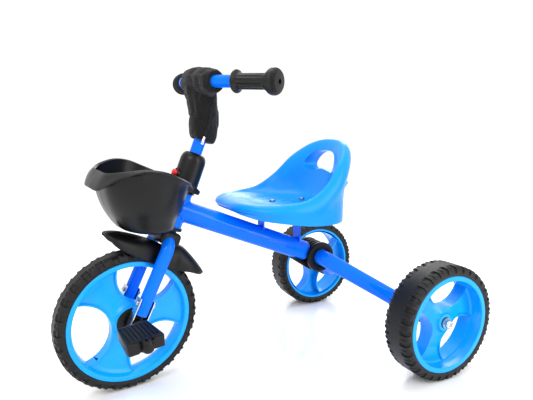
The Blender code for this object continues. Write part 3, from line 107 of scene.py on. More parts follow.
def material(name, colour, roughness, grain, depth, vary=0.06, spread=0.05, blotch=14.0, **settings):
    """Principled material with a fine bump, slow colour variation and uneven gloss.

    grain is the bump's scale per metre and depth its height; vary is how far the colour strays, spread how
    far the roughness does, and blotch the scale of both per metre.
    """
    mat = bpy.data.materials.new(name)
    mat.use_nodes = True
    nodes = mat.node_tree.nodes
    link = mat.node_tree.links.new
    shader = nodes["Principled BSDF"]
    for key, value in settings.items():
        shader.inputs[key.replace("_", " ")].default_value = value
    place = nodes.new("ShaderNodeTexCoord").outputs["Object"]
    slow = nodes.new("ShaderNodeTexNoise")
    slow.inputs["Scale"].default_value = blotch
    slow.inputs["Detail"].default_value = 3.0
    link(place, slow.inputs["Vector"])
    ramp = nodes.new("ShaderNodeValToRGB")
    ramp.color_ramp.elements[0].position = 0.3
    ramp.color_ramp.elements[1].position = 0.7
    ramp.color_ramp.elements[0].color = [c * (1 - vary) for c in colour] + [1.0]
    ramp.color_ramp.elements[1].color = [min(1.0, c * (1 + vary)) for c in colour] + [1.0]
    link(slow.outputs["Fac"], ramp.inputs["Fac"])
    link(ramp.outputs["Color"], shader.inputs["Base Color"])
    gloss = nodes.new("ShaderNodeMapRange")
    gloss.inputs["To Min"].default_value = max(0.0, roughness - spread)
    gloss.inputs["To Max"].default_value = min(1.0, roughness + spread)
    fine = nodes.new("ShaderNodeTexNoise")
    fine.inputs["Scale"].default_value = grain
    fine.inputs["Detail"].default_value = 2.0
    link(place, fine.inputs["Vector"])
    link(slow.outputs["Fac"], gloss.inputs["Value"])
    link(gloss.outputs["Result"], shader.inputs["Roughness"])
    bump = nodes.new("ShaderNodeBump")
    bump.inputs["Strength"].default_value = 1.0
    bump.inputs["Distance"].default_value = depth
    link(fine.outputs["Fac"], bump.inputs["Height"])
    link(bump.outputs["Normal"], shader.inputs["Normal"])
    return mat


def add_weave(mat, pitch, depth):
    """Plain weave over a material: two crossed sets of threads, in place of its grain."""
    nodes = mat.node_tree.nodes
    link = mat.node_tree.links.new
    place = nodes.new("ShaderNodeTexCoord").outputs["Object"]
    threads = []
    for direction in ("X", "Z"):
        wave = nodes.new("ShaderNodeTexWave")
        wave.bands_direction = direction
        wave.inputs["Scale"].default_value = 0.314 / pitch
        wave.inputs["Distortion"].default_value = 0.4
        link(place, wave.inputs["Vector"])
        threads.append(wave.outputs["Fac"])
    both = nodes.new("ShaderNodeMath")
    both.operation = "MULTIPLY"
    link(threads[0], both.inputs[0])
    link(threads[1], both.inputs[1])
    bump = nodes["Bump"]
    bump.inputs["Distance"].default_value = depth
    link(both.outputs["Value"], bump.inputs["Height"])
    return mat


def brushed(mat, stretch):
    """Draws a metal's grain out along X, as turning or rolling leaves it."""
    nodes = mat.node_tree.nodes
    link = mat.node_tree.links.new
    mapping = nodes.new("ShaderNodeMapping")
    mapping.inputs["Scale"].default_value = (1.0 / stretch, 1.0, 1.0)
    link(nodes["Texture Coordinate"].outputs["Object"], mapping.inputs["Vector"])
    link(mapping.outputs["Vector"], nodes["Noise Texture.001"].inputs["Vector"])
    return mat


FRAME_BLUE = material(
    "frame_paint", srgb(0, 110, 240), 0.3, 220.0, 0.00003, 0.03, 0.04, 9.0,
    Specular_IOR_Level=0.04, Coat_Weight=0.24, Coat_Roughness=0.03,
)
RIM_BLUE = material(
    "rim_plastic", srgb(6, 160, 242), 0.26, 900.0, 0.00003, 0.04, 0.05, 12.0, Specular_IOR_Level=0.3
)
SEAT_BLUE = material(
    "seat_plastic", srgb(8, 138, 236), 0.28, 1500.0, 0.00006, 0.04, 0.05, 9.0, Specular_IOR_Level=0.18
)
BLACK = material("black_plastic", srgb(9, 9, 10), 0.4, 1400.0, 0.00012, 0.12, 0.06, Specular_IOR_Level=0.25)
SATIN_BLACK = material("satin_black", srgb(9, 9, 10), 0.34, 1800.0, 0.00006, 0.12, 0.05, Specular_IOR_Level=0.26)
TYRE = material("tyre_foam", srgb(14, 14, 15), 0.46, 1600.0, 0.0002, 0.15, 0.08, 30.0, Specular_IOR_Level=0.3)
GRIP = material("grip_rubber", srgb(14, 14, 15), 0.42, 1500.0, 0.00012, 0.15, 0.06, 40.0, Specular_IOR_Level=0.32)
ZINC = brushed(
    material("zinc_plate", srgb(205, 206, 210), 0.2, 900.0, 0.00004, 0.05, 0.07, 60.0, Metallic=1.0), 12.0
)
STEEL = brushed(
    material("bright_steel", srgb(190, 190, 194), 0.16, 700.0, 0.00003, 0.05, 0.06, 40.0, Metallic=1.0), 10.0
)
# Screw head colour: a dark seat blue that paints the shade of the recess in the pan, not the steel's own colour.
SCREW_PAINTED_SHADE = material("screw_painted_shade", srgb(30, 60, 100), 0.4, 900.0, 0.00004, 0.05, 0.05, 60.0, Metallic=0.6)
RED = material("red_plastic", srgb(214, 16, 22), 0.28, 1200.0, 0.00004, 0.05, 0.05, 40.0)
CLOTH = add_weave(
    material(
        "sleeve_cloth", srgb(19, 19, 20), 0.85, 900.0, 0.0002, 0.25, 0.06, 60.0,
        Sheen_Weight=0.12, Sheen_Roughness=0.4, Specular_IOR_Level=0.25,
    ),
    1.1 * MM, 0.00035,
)
THREAD = material("sewing_thread", srgb(34, 34, 37), 0.8, 1500.0, 0.0002, 0.2, 0.05, 80.0)


# ---- Mesh helpers ------------------------------------------------------------------------------------------


def new_object(name, bm, mat, matrix=Matrix(), sharp=32.0, bevel=0.0):
    """Object from a bmesh placed by matrix, smoothly shaded, with optional bevelled edges."""
    bmesh.ops.remove_doubles(bm, verts=bm.verts, dist=0.002 * MM)
    bmesh.ops.recalc_face_normals(bm, faces=bm.faces)
    mesh = bpy.data.meshes.new(name)
    bm.to_mesh(mesh)
    bm.free()
    mesh.transform(matrix)
    mesh.shade_smooth()
    mesh.set_sharp_from_angle(angle=radians(sharp))
    mesh.materials.append(mat)
    obj = bpy.data.objects.new(name, mesh)
    bpy.context.scene.collection.objects.link(obj)
    if bevel:
        round_edges(obj, bevel)
    return obj


def round_edges(obj, width, segments=2, angle=30.0):
    modifier = obj.modifiers.new("Bevel", "BEVEL")
    modifier.width = width
    modifier.segments = segments
    modifier.limit_method = "ANGLE"
    modifier.angle_limit = radians(angle)
    modifier.harden_normals = True
    modifier.use_clamp_overlap = True


def add_smoothing(obj, levels):
    modifier = obj.modifiers.new("Subdivision", "SUBSURF")
    modifier.levels = levels
    modifier.render_levels = levels


def settle(obj, sharp=32.0):
    """Applies an object's modifiers."""
    graph = bpy.context.evaluated_depsgraph_get()
    mesh = bpy.data.meshes.new_from_object(obj.evaluated_get(graph))
    obj.modifiers.clear()
    obj.data = mesh
    mesh.shade_smooth()
    mesh.set_sharp_from_angle(angle=radians(sharp))
    return obj


def combine(target, tool, operation, sharp=32.0):
    """Joins tool to target or cuts it away."""
    bpy.context.view_layer.update()
    modifier = target.modifiers.new("Boolean", "BOOLEAN")
    modifier.operation = operation
    modifier.solver = "EXACT"
    modifier.object = tool
    settle(target, sharp)
    bpy.data.objects.remove(tool)
    return target


def grid(rings, closed_rings, closed_along):
    """Bmesh skinned over rows of points."""
    bm = bmesh.new()
    rows = [[bm.verts.new(point) for point in ring] for ring in rings]
    pairs = list(zip(rows, rows[1:] + rows[:1])) if closed_along else list(zip(rows, rows[1:]))
    for first, second in pairs:
        count = len(first)
        for i in range(count if closed_rings else count - 1):
            j = (i + 1) % count
            bm.faces.new((first[i], first[j], second[j], second[i]))
    return bm, rows


def loft(name, rings, mat, matrix=Matrix(), close=False, **options):
    """Closed solid through rings of points, its ends capped."""
    bm, rows = grid(rings, True, close)
    if not close:
        bm.faces.new(rows[0][::-1])
        bm.faces.new(rows[-1])
    return new_object(name, bm, mat, matrix, **options)


def lathe(name, outline, mat, matrix=Matrix(), axis="X", segments=72, flip=1, **options):
    """Turned solid from a closed outline of (radius, distance along the axis) in millimetres."""
    rings = []
    for radius, along in outline:
        ring = []
        for i in range(segments):
            a = 2 * pi * i / segments
            u, v, w = radius * cos(a) * MM, radius * sin(a) * MM, along * flip * MM
            ring.append({"X": (w, u, v), "Y": (u, w, v), "Z": (u, v, w)}[axis])
        rings.append(ring)
    bm, _ = grid(rings, True, True)
    bmesh.ops.dissolve_degenerate(bm, edges=bm.edges, dist=0.002 * MM)
    return new_object(name, bm, mat, matrix, **options)


def rod(radius, low, high):
    """Outline of a plain round rod, for lathe."""
    return [(0, low), (radius, low), (radius, high), (0, high)]


def rounded_outline(outline, radius, steps=3):
    """Outline with its corners rounded off by a small radius, in the outline's units."""
    points = []
    count = len(outline)
    for i in range(count):
        corner = Vector(outline[i])
        back = Vector(outline[i - 1]) - corner
        ahead = Vector(outline[(i + 1) % count]) - corner
        if corner.x <= 0 or back.length < 1e-6 or ahead.length < 1e-6:
            points.append(tuple(corner))
            continue
        reach = min(radius, 0.45 * back.length, 0.45 * ahead.length)
        start = corner + back.normalized() * reach
        end = corner + ahead.normalized() * reach
        for k in range(steps + 1):
            t = k / steps
            points.append(tuple(start * (1 - t) ** 2 + corner * 2 * t * (1 - t) + end * t * t))
    return points


def bent(points, bend, steps=10):
    """Path of straight runs with arcs at its corners."""
    path = [Vector(points[0])]
    for before, corner, after in zip(points, points[1:], points[2:]):
        corner = Vector(corner)
        back = (Vector(before) - corner).normalized()
        ahead = (Vector(after) - corner).normalized()
        half = back.angle(ahead) / 2
        middle = corner + (back + ahead).normalized() * (bend / sin(half))
        arm = corner + back * (bend / tan(half)) - middle
        axis = back.cross(ahead)
        for i in range(steps + 1):
            path.append(middle + Matrix.Rotation(-(pi - 2 * half) * i / steps, 3, axis) @ arm)
    path.append(Vector(points[-1]))
    return path


def tube(name, path, radius, wall, mat, matrix=Matrix(), sides=40, **options):
    """Hollow tube along a path, or a solid rod if wall is 0."""
    outer, inner = [], []
    across = None
    for i, point in enumerate(path):
        ahead = (path[min(i + 1, len(path) - 1)] - path[max(i - 1, 0)]).normalized()
        if across is None:
            across = ahead.orthogonal().normalized()
        across = (across - ahead * across.dot(ahead)).normalized()
        side = ahead.cross(across)
        spokes = [across * cos(2 * pi * k / sides) + side * sin(2 * pi * k / sides) for k in range(sides)]
        outer.append([point + spoke * radius for spoke in spokes])
        inner.append([point + spoke * (radius - wall) for spoke in spokes])
    if wall:
        return loft(name, outer + inner[::-1], mat, matrix, close=True, **options)
    return loft(name, outer, mat, matrix, **options)


def spline(stations, steps, scale=MM):
    """Smooth curve through stations given in millimetres."""
    points = [Vector(s) * scale for s in stations]
    ends = [points[0] * 2 - points[1]] + points + [points[-1] * 2 - points[-2]]
    curve = []
    for a, b, c, d in zip(ends, ends[1:], ends[2:], ends[3:]):
        for i in range(steps):
            t = i / steps
            bow = (c - a) * t + (2 * a - 5 * b + 4 * c - d) * t * t + (3 * b - a - 3 * c + d) * t**3
            curve.append(b + bow / 2)
    curve.append(points[-1])
    return curve


def mirrored(half):
    """Closed ring from its half, whose ends lie on X = 0."""
    half = [Vector((0, half[0].y, half[0].z))] + half[1:-1] + [Vector((0, half[-1].y, half[-1].z))]
    return half + [Vector((-p.x, p.y, p.z)) for p in half[-2:0:-1]]


def across_rings(rings, steps):
    """More rings between the given ones, along smooth curves through their matching points."""
    count = len(rings[0])
    lines = [spline([ring[i] for ring in rings], steps, 1.0) for i in range(count)]
    return [[line[k] for line in lines] for k in range(len(lines[0]))]


def inset_ring(ring, inset, rise=0.0):
    """Closed ring, counter-clockwise from above, moved inwards and up."""
    moved = []
    for before, point, after in zip(ring[-1:] + ring[:-1], ring, ring[1:] + ring[:1]):
        first = Vector((before.y - point.y, point.x - before.x, 0)).normalized()
        second = Vector((point.y - after.y, after.x - point.x, 0)).normalized()
        moved.append(point + (first + second).normalized() * inset + Vector((0, 0, rise)))
    return moved


def box_mesh(name, size, centre, mat, matrix=Matrix(), bevel=0.0006, segments=3):
    bm = bmesh.new()
    bmesh.ops.create_cube(bm, size=1.0)
    bmesh.ops.scale(bm, vec=[s * MM for s in size], verts=bm.verts)
    if bevel:
        bmesh.ops.bevel(bm, geom=bm.edges, offset=bevel, segments=segments, affect="EDGES", profile=0.5)
    bmesh.ops.translate(bm, vec=[c * MM for c in centre], verts=bm.verts)
    return new_object(name, bm, mat, matrix, sharp=40.0)


def prism(name, outline, half, mat, **options):
    """Outline in Y and Z, in millimetres, drawn out to both sides of X = 0."""
    rings = [[Vector((x * MM, y * MM, z * MM)) for y, z in outline] for x in (-half, half)]
    return loft(name, rings, mat, **options)


def cross_slots(head, size, centre, mat, turn, axis, matrix=Matrix()):
    """Cuts a screw head's crossed slots, a quarter turn apart."""
    for angle in (turn, turn + pi / 2):
        place = matrix @ Matrix.Rotation(angle, 4, axis)
        combine(head, box_mesh("slot", size, centre, mat, place, bevel=0), "DIFFERENCE")


def stand_for(obj, body, *nodes):
    """The piece rides on the body and replaces these CAD nodes."""
    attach(obj, body)
    if nodes:
        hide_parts(*nodes)
    return obj


# ---- Tyres -------------------------------------------------------------------------------------------------


def tyre(name, body, node, matrix, radius, width, seat, pitches):
    """Foam tyre: a smooth middle band, and on each shoulder raised lugs with a U-shaped groove."""
    half = width / 2
    across = [
        (seat, half - 1.0), (seat + 3.0, half - 0.4), (radius - 12.0, half), (radius - 8.0, half),
        (radius - 5.0, half - 0.5), (radius - 2.4, half - 1.9), (radius - 0.8, half - 4.4), (radius, half - 7.6),
        (radius, half * 0.50), (radius, half * 0.42), (radius, half * 0.2), (radius, 0.0),
    ]
    lug = [0, 0, 0, 0.75, 1, 1, 1, 1, 1, 0, 0, 0]
    cup = [0, 0, 0, 0, 0.4, 1, 1, 1, 0, 0, 0, 0]
    outline = [(r, x, k, c) for (r, x), k, c in zip(across, lug, cup)]
    outline += [(r, -x, k, c) for r, x, k, c in outline[-2::-1]]
    outline += [(seat, -half * 0.5, 0, 0), (seat, half * 0.5, 0, 0)]
    marks = [0.0, 0.06, 0.10, 0.24, 0.28, 0.48, 0.52, 0.66, 0.70, 0.85]
    raised = [0, 0, 1, 1, 1, 1, 1, 1, 0, 0]
    cupped = [0, 0, 0, 0, 1, 1, 0, 0, 0, 0]
    depth = 2.7
    rings = []
    for pitch in range(pitches):
        for mark, high, low in zip(marks, raised, cupped):
            ring = []
            for r, x, k, c in outline:
                shift = 0.5 if x < 0 else 0.0
                a = 2 * pi * (pitch + mark + shift) / pitches
                drop = depth * k * (1 - high) + 1.5 * c * low
                level = r - drop * (0.35 if abs(x) > half - 1 else 1.0)
                side = x - (0.9 * drop * (1 if x > 0 else -1) if abs(x) > half - 1.2 else 0)
                ring.append((side * MM, level * cos(a) * MM, level * sin(a) * MM))
            rings.append(ring)
    bm, _ = grid(rings, True, True)
    obj = new_object(name, bm, TYRE, matrix, sharp=28.0)
    return stand_for(obj, body, node)


tyre("tyre_front", "front_wheel", "front_tyre", FRONT_AXLE, 119.6, 35.2, 103.9, 29)
tyre("tyre_rear_left", "left_rear_wheel", "rear_tyre_left", REAR_LEFT, 102.9, 56.0, 86.9, 32)
tyre("tyre_rear_right", "right_rear_wheel", "rear_tyre_right", REAR_RIGHT, 102.9, 56.0, 86.9, 32)


# ---- Rims --------------------------------------------------------------------------------------------------


def windows(rim, angle, radius, circle, limit, low, high, collar):
    """Three windows with raised edges, cut off by the rim's lip."""
    for i in range(3):
        a = angle + 2 * pi * i / 3
        at = Matrix.Translation((0, circle * cos(a) * MM, circle * sin(a) * MM))
        edge = lathe("edge", rod(radius + collar, low, high), RIM_BLUE, at)
        keep = lathe("keep", rod(limit + 1.2, -60, 60), RIM_BLUE)
        combine(edge, keep, "INTERSECT")
        combine(rim, edge, "UNION")
    for i in range(3):
        a = angle + 2 * pi * i / 3
        at = Matrix.Translation((0, circle * cos(a) * MM, circle * sin(a) * MM))
        hole = lathe("hole", rod(radius, -60, 60), RIM_BLUE, at)
        keep = lathe("keep", rod(limit, -61, 61), RIM_BLUE)
        combine(hole, keep, "INTERSECT")
        combine(rim, hole, "DIFFERENCE")
    return rim


def front_rim():
    """Spoked wheel of moulded plastic, dished alike on both faces."""
    side = [(103.6, 17.1), (96.5, 17.1), (95.2, 15.6), (93.0, 7.4), (86, 4.6), (60, 4.2), (42, 5.8), (32, 8.6)]
    side += [(27.5, 13.5), (26.5, 17.2), (6.4, 17.2)]
    outline = rounded_outline(side + [(r, -x) for r, x in side[::-1]], 1.6)
    rim = lathe("rim_front", outline, RIM_BLUE, segments=96)
    windows(rim, radians(88), 52.5, 84.0, 93.4, -8.2, 8.2, 2.8)
    rim.data.transform(FRONT_AXLE)
    round_edges(rim, 0.8 * MM)
    stand_for(rim, "front_wheel", "front_rim")


def rear_rim(name, body, node, matrix, flip):
    """Deep wheel: the web is set back in the drum and the hub's nose stands out of it."""
    outline = [(86.6, -27.4), (86.6, 27.4), (78.5, 27.4), (77.8, 26.4), (80.2, 14), (79.6, 3.0), (76, 0.8), (50, 0.6)]
    outline += [(34, 4.4), (20, 9.4), (16.4, 12.0), (15.2, 16.0), (9.4, 16.0), (9.4, -28.4), (14.0, -28.4)]
    outline += [(16.5, -9), (34, -4.8), (60, -5.4), (78, -5.8), (82, -11.0), (82, -27.4)]
    rim = lathe("rim", rounded_outline([(r, x * flip) for r, x in outline], 1.6), RIM_BLUE, segments=88)
    low, high = (-22.0, 3.4) if flip > 0 else (-3.4, 22.0)
    windows(rim, radians(77), 47.5, 71.0, 77.8, low, high, 2.6)
    rim.name = name
    rim.data.transform(matrix)
    round_edges(rim, 0.8 * MM)
    stand_for(rim, body, node)


front_rim()
rear_rim("rim_rear_left", "left_rear_wheel", "rear_rim_left", REAR_LEFT, 1)
rear_rim("rim_rear_right", "right_rear_wheel", "rear_rim_right", REAR_RIGHT, -1)

for word, flip in (("left", 1), ("right", -1)):
    cover = lathe(
        "hub_disc_" + word,
        rounded_outline([(6.5, 17.7), (26, 17.7), (26, 19.4), (23.5, 20.5), (12, 20.5), (11, 19.6), (6.5, 19.6)], 0.5),
        BLACK, FRONT_AXLE, flip=flip,
    )
    stand_for(cover, "front_wheel", "hub_cover_" + word)


# ---- Frame tubes -------------------------------------------------------------------------------------------


def main_frame():
    """Main tube and head tube with a welding bead between them."""
    low, high = HEAD @ Vector((0, 0, 291 * MM)), HEAD @ Vector((0, 0, 351 * MM))
    near = MAIN_START + MAIN_AHEAD * (4 * MM)
    obj = tube("frame_tubes", [near, MAIN_END], 19 * MM, 0, FRAME_BLUE, sides=64)
    head = tube("head", [low, high], 18 * MM, 0, FRAME_BLUE, sides=64)
    combine(obj, head, "UNION")
    spare = UP * (2 * MM)
    combine(obj, tube("bore", [low - spare, high + spare], 15.5 * MM, 0, FRAME_BLUE, sides=64), "DIFFERENCE")
    start, end = MAIN_START + MAIN_AHEAD * (30 * MM), MAIN_END + MAIN_AHEAD * (5 * MM)
    combine(obj, tube("bore", [start, end], 17.2 * MM, 0, FRAME_BLUE, sides=64), "DIFFERENCE")
    round_edges(obj, 0.5 * MM)
    stand_for(obj, "chassis", "main_frame")
    # Welding bead where the main tube meets the head tube.
    points = []
    for i in range(72):
        a = 2 * pi * i / 72
        side, lift = sin(a) * 18.9, cos(a) * 18.9
        back = (max(0.0, 18.0**2 - side**2)) ** 0.5
        ripple = 0.35 * sin(12 * a * 3)
        middle = HEAD @ Vector((side * MM, (back + ripple) * MM, (321.3 + lift) * MM))
        points.append(middle)
    bead(points, 2.0 * MM, "weld_bead", FRAME_BLUE, "chassis")


def bead(points, radius, name, mat, body):
    """Closed round bead along a loop of points."""
    rings = []
    count = len(points)
    middle = sum(points, Vector()) / count
    for i, point in enumerate(points):
        ahead = (points[(i + 1) % count] - points[i - 1]).normalized()
        out = (point - middle).normalized()
        out = (out - ahead * out.dot(ahead)).normalized()
        side = ahead.cross(out)
        thick = radius * (1 + 0.12 * sin(i * 2.4))
        turns = [2 * pi * k / 10 for k in range(10)]
        rings.append([point + (out * cos(a) + side * sin(a)) * thick for a in turns])
    bm, _ = grid(rings, True, True)
    obj = new_object(name, bm, mat, sharp=60.0)
    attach(obj, body)
    return obj


def seat_brackets():
    """Two bent steel straps between the main tube and the seat."""
    for word, front, length in (("front", 8.0, 34.0), ("rear", 86.0, 18.0)):
        top = SEAT.translation.z / MM - 3.8
        y = front + CHASSIS_Y / MM
        start = MAIN_START.z + MAIN_AHEAD.z * ((y + 1.5) * MM - MAIN_START.y) / MAIN_AHEAD.y
        foot = start / MM + 16
        outline = [(y, foot), (y + 3, foot), (y + 3, top - 6), (y + 4, top - 4), (y + 6, top - 3)]
        outline += [(y + length, top - 3), (y + length, top), (y + 5, top), (y + 1.4, top - 1.4), (y, top - 5)]
        obj = prism("bracket_" + word, outline, 12, FRAME_BLUE, bevel=0.5 * MM, sharp=25.0)
        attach(obj, "chassis")


def rear_legs():
    """Bent rear tube with the two sleeves over its ends."""
    axle = place_of("rear_wheel_left_spin")
    end = 177.0 * MM
    left = [
        Vector((end, axle.y, axle.z)), Vector((119 * MM, axle.y, axle.z)), Vector((38.5 * MM, CLAMP.y, CLAMP.z)),
        Vector((0, CLAMP.y, CLAMP.z)),
    ]
    outer = bent(left[:3], 42 * MM)[:-1]
    inner = bent([left[1], left[2], left[3]], 16 * MM, 6)[1:-1]
    path = outer + inner
    path += [Vector((-p.x, p.y, p.z)) for p in path[::-1]]
    obj = tube("rear_legs", path, 15 * MM, 2 * MM, FRAME_BLUE, sides=48)
    stand_for(obj, "chassis", "rear_axle_tube")
    for word, flip in (("left", 1), ("right", -1)):
        at = Matrix.Translation((0, axle.y, axle.z))
        outline = [(15.2, SLEEVE_LOW), (17.2, SLEEVE_LOW), (17.5, SLEEVE_LOW + 1.0), (17.5, 170), (19.0, 172)]
        outline += [(19.0, 179.4), (18.0, 180.4), (5.4, 180.4), (5.4, 177.4), (15.2, 177.4)]
        sleeve = lathe("sleeve_" + word, outline, BLACK, at, flip=flip)
        stand_for(sleeve, "chassis", "axle_sleeve_" + word)
        screw_end(word, flip, at)


SLEEVE_LOW = 146.0


def screw_end(word, flip, at):
    """End of the axle with its lock nut and washer, sunk in the hub's nose."""
    for node in ("axle_nut_", "axle_washer_", "rear_axle_"):
        frame["nodes"][node + word].data.materials.clear()
        frame["nodes"][node + word].data.materials.append(ZINC)
    outline = [(0, 233.2), (7.6, 233.2), (7.6, 235.0), (6.0, 237.0), (3, 237.6), (0, 237.6)]
    head = lathe("axle_head_" + word, rounded_outline(outline, 0.6), ZINC, at, flip=flip)
    cross_slots(head, (3, 9, 1.6), (237.4 * flip, 0, 0), ZINC, 0.5, "X", at)
    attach(head, "chassis")


def clamp():
    """Ribbed clamp shells, end discs with a grooved edge, and the wedge under the main tube."""
    at = Matrix.Translation(CLAMP) @ Matrix.Rotation(-MAIN_SLOPE, 4, "X")
    ribbed = [(15.4, -20), (25, -20)]
    for x in (-12, 0, 12):
        ribbed += [(25, x - 1.6), (28.4, x - 1.2), (28.4, x + 1.2), (25, x + 1.6)]
    ribbed += [(25, 20), (15.4, 20)]
    plain = [ribbed[0], ribbed[1], ribbed[-2], ribbed[-1]]
    for word, side, outline in (("upper", 1, ribbed), ("lower", -1, plain)):
        obj = lathe("clamp_" + word, rounded_outline(outline, 0.5), BLACK)
        combine(obj, box_mesh("keep", (200, 200, 100), (0, 0, side * 50.4), BLACK, bevel=0), "INTERSECT")
        if side > 0:
            combine(obj, box_mesh("room", (100, 50, 100), (0, -50.1, 0), BLACK, bevel=0), "DIFFERENCE")
        else:
            tongue = [(-45, -19.4), (-45, -22.4), (-8, -30.2), (3, -29.4), (8, -23), (4, -20.5), (-8, -19.4)]
            combine(obj, prism("tongue", tongue, 11, BLACK), "UNION")
        obj.data.transform(at)
        round_edges(obj, 0.5 * MM)
        stand_for(obj, "chassis", "axle_clamp_" + word)
    for word, flip in (("left", 1), ("right", -1)):
        outline = [(15.4, 20.4), (29.4, 20.4), (29.4, 26.6), (27.6, 28.4), (19.5, 28.4), (18.5, 27.2), (15.4, 27.2)]
        disc = lathe("collar_" + word, rounded_outline(outline, 0.6), BLACK, Matrix.Translation(CLAMP), flip=flip)
        stand_for(disc, "chassis", "axle_collar_" + word)


main_frame()
seat_brackets()
rear_legs()
clamp()

for name, face, out in (("head_ring_lower", 290.7, -1), ("head_ring_upper", 351.3, 1)):
    outer = face + out * (5.4 if out < 0 else 2.6)
    inner = face - out * 12
    outline = [(13.4, outer), (20.2, outer), (20.5, outer - out * 1.0), (20.5, face), (15.0, face)]
    outline += [(15.0, inner), (13.4, inner)]
    stand_for(
        lathe(name, rounded_outline(outline, 0.4), BLACK, HEAD, "Z"), "chassis",
        "head_bush_lower" if out < 0 else "head_bush_upper",
    )


# ---- Seat --------------------------------------------------------------------------------------------------

SEAT_CREST = [
    (0, -112, 6), (45, -108, 8), (82, -86, 9), (103, -45, 11), (106, 0, 18), (101, 40, 43),
    (88, 72, 78), (62, 98, 103), (32, 112, 114), (0, 117, 117),
]
SEAT_SHOULDER = [
    (0, -116, 0), (48, -113, 0), (90, -90, 0), (112, -46, -1), (116, 2, 3), (112, 46, 25),
    (99, 80, 58), (71, 109, 84), (37, 126, 95), (0, 131, 98),
]
SEAT_SKIRT = [
    (0, -102, -10), (42, -100, -12), (80, -82, -17), (106, -45, -22), (112, 0, -28), (110, 40, -30),
    (97, 72, -30), (65, 98, -30), (33, 109, -30), (0, 112, -30),
]
SEAT_INNER = [
    (0, -98, 8), (38, -94, 9), (70, -76, 8), (90, -42, 7), (94, 0, 8), (90, 36, 25),
    (76, 65, 57), (52, 88, 85), (27, 99, 96), (0, 102, 98),
]
SEAT_PAN = [
    (0, -70, 6), (28, -66, 5), (52, -52, 3), (68, -30, 2), (74, 2, 2), (72, 34, 6),
    (60, 60, 16), (42, 76, 24), (21, 82, 27), (0, 83, 28),
]
SEAT_FLAT = [
    (0, -48, 1), (20, -45, 1), (38, -35, 1), (48, -16, 1), (51, 4, 1), (50, 24, 1),
    (42, 42, 1), (30, 54, 1), (15, 60, 1), (0, 61, 1),
]


def pulled(ring, inset, drop=0.0, top=None):
    """Ring drawn in towards the Z axis and lowered."""
    points = []
    for point in ring:
        out = Vector((point.x, point.y, 0))
        point = point - (out.normalized() * inset * MM if out.length > MM else Vector())
        point.z -= drop * MM
        if top is not None:
            point.z = min(point.z, top * MM)
        points.append(point)
    return points


def seat():
    """Moulded bucket seat with a rolled rim, open below, and a hand hole through its back."""
    steps = 9
    tables = (SEAT_FLAT, SEAT_PAN, SEAT_INNER, SEAT_CREST, SEAT_SHOULDER, SEAT_SKIRT)
    flat, pan, inner, crest, shoulder, skirt = [mirrored(spline(rows, steps)) for rows in tables]
    middle = [Vector((p.x * 0.02, p.y * 0.02, 1 * MM)) for p in flat]
    # The wall under the rim is a little hollow towards the back.
    mid_skirt = []
    for high, low in zip(shoulder, skirt):
        out = Vector((high.x, high.y, 0)).normalized()
        mid_skirt.append((high + low) / 2 - out * max(0.0, min(1.0, high.y / 0.1)) * 4 * MM)
    # The rolled rim: a fuller curve between the inner wall and the shoulder than two straight bands.
    outside = across_rings([middle, flat, pan, inner, crest, shoulder, mid_skirt, skirt], 6)
    roof = 44
    inside = [
        pulled(skirt, 3.0), pulled(mid_skirt, 3.2), pulled(shoulder, 3.5, 6, roof - 6), pulled(inner, -3, 4.5, roof),
        pulled(pan, -2, 4.5), pulled(flat, 0, 4.5), pulled(middle, 0, 4.5),
    ]
    obj = loft("seat", outside + across_rings(inside, 3), SEAT_BLUE, sharp=50.0)
    grip_hole = [(0, 59, 0), (22, 56, 0), (40, 54, 0), (50, 60, 0), (51, 71, 0), (42, 84, 0), (26, 92, 0), (0, 95, 0)]
    half = spline(grip_hole, 6)
    hole = half + [Vector((-p.x, p.y, 0)) for p in half[-2:0:-1]]
    rings = [[Vector((p.x, y * MM, p.y)) for p in hole] for y in (60, 180)]
    hole = loft("hole", rings, SEAT_BLUE)
    combine(obj, hole, "DIFFERENCE", 38.0)
    for y in (33 - 50, 97 - 50):
        bore = lathe("bore", rod(3.0, -40, 40), SEAT_BLUE, Matrix.Translation((0, y * MM, 0)), "Z")
        combine(obj, bore, "DIFFERENCE", 38.0)
    obj.data.transform(SEAT)
    round_edges(obj, 1.2 * MM, 3, 50.0)
    stand_for(obj, "chassis", "seat_shell")


def screw_heads():
    """Cross-headed screws in the seat's pan."""
    for word, y in (("front", -17), ("rear", 47)):
        at = SEAT @ Matrix.Translation((0, y * MM, 1.3 * MM))
        outline = rounded_outline([(0, 0), (6, 0), (6, 1.4), (4.4, 2.6), (2.0, 3.0), (0, 3.0)], 0.5)
        # The heads carry the painted shade of their recess.
        head = lathe("seat_screw_" + word, outline, SCREW_PAINTED_SHADE, axis="Z", segments=40)
        cross_slots(head, (5.6, 1.1, 1.6), (0, 0, 3.0), SCREW_PAINTED_SHADE, 0.3, "Z")
        head.data.transform(at)
        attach(head, "chassis")


seat()
screw_heads()


# ---- Fork and what is on it --------------------------------------------------------------------------------


def leg_point(x, along):
    return LEG @ Vector((x * MM, 0, along * MM))


def fork_path():
    """Middle line of the fork's tube: up one leg, over the crown and down the other."""
    high = (CROWN_UP - AXLE_UP) / LEG[2][2] / MM
    points = [leg_point(34, 20), leg_point(34, high), leg_point(-34, high), leg_point(-34, 20)]
    return bent(points, 21 * MM, 12)


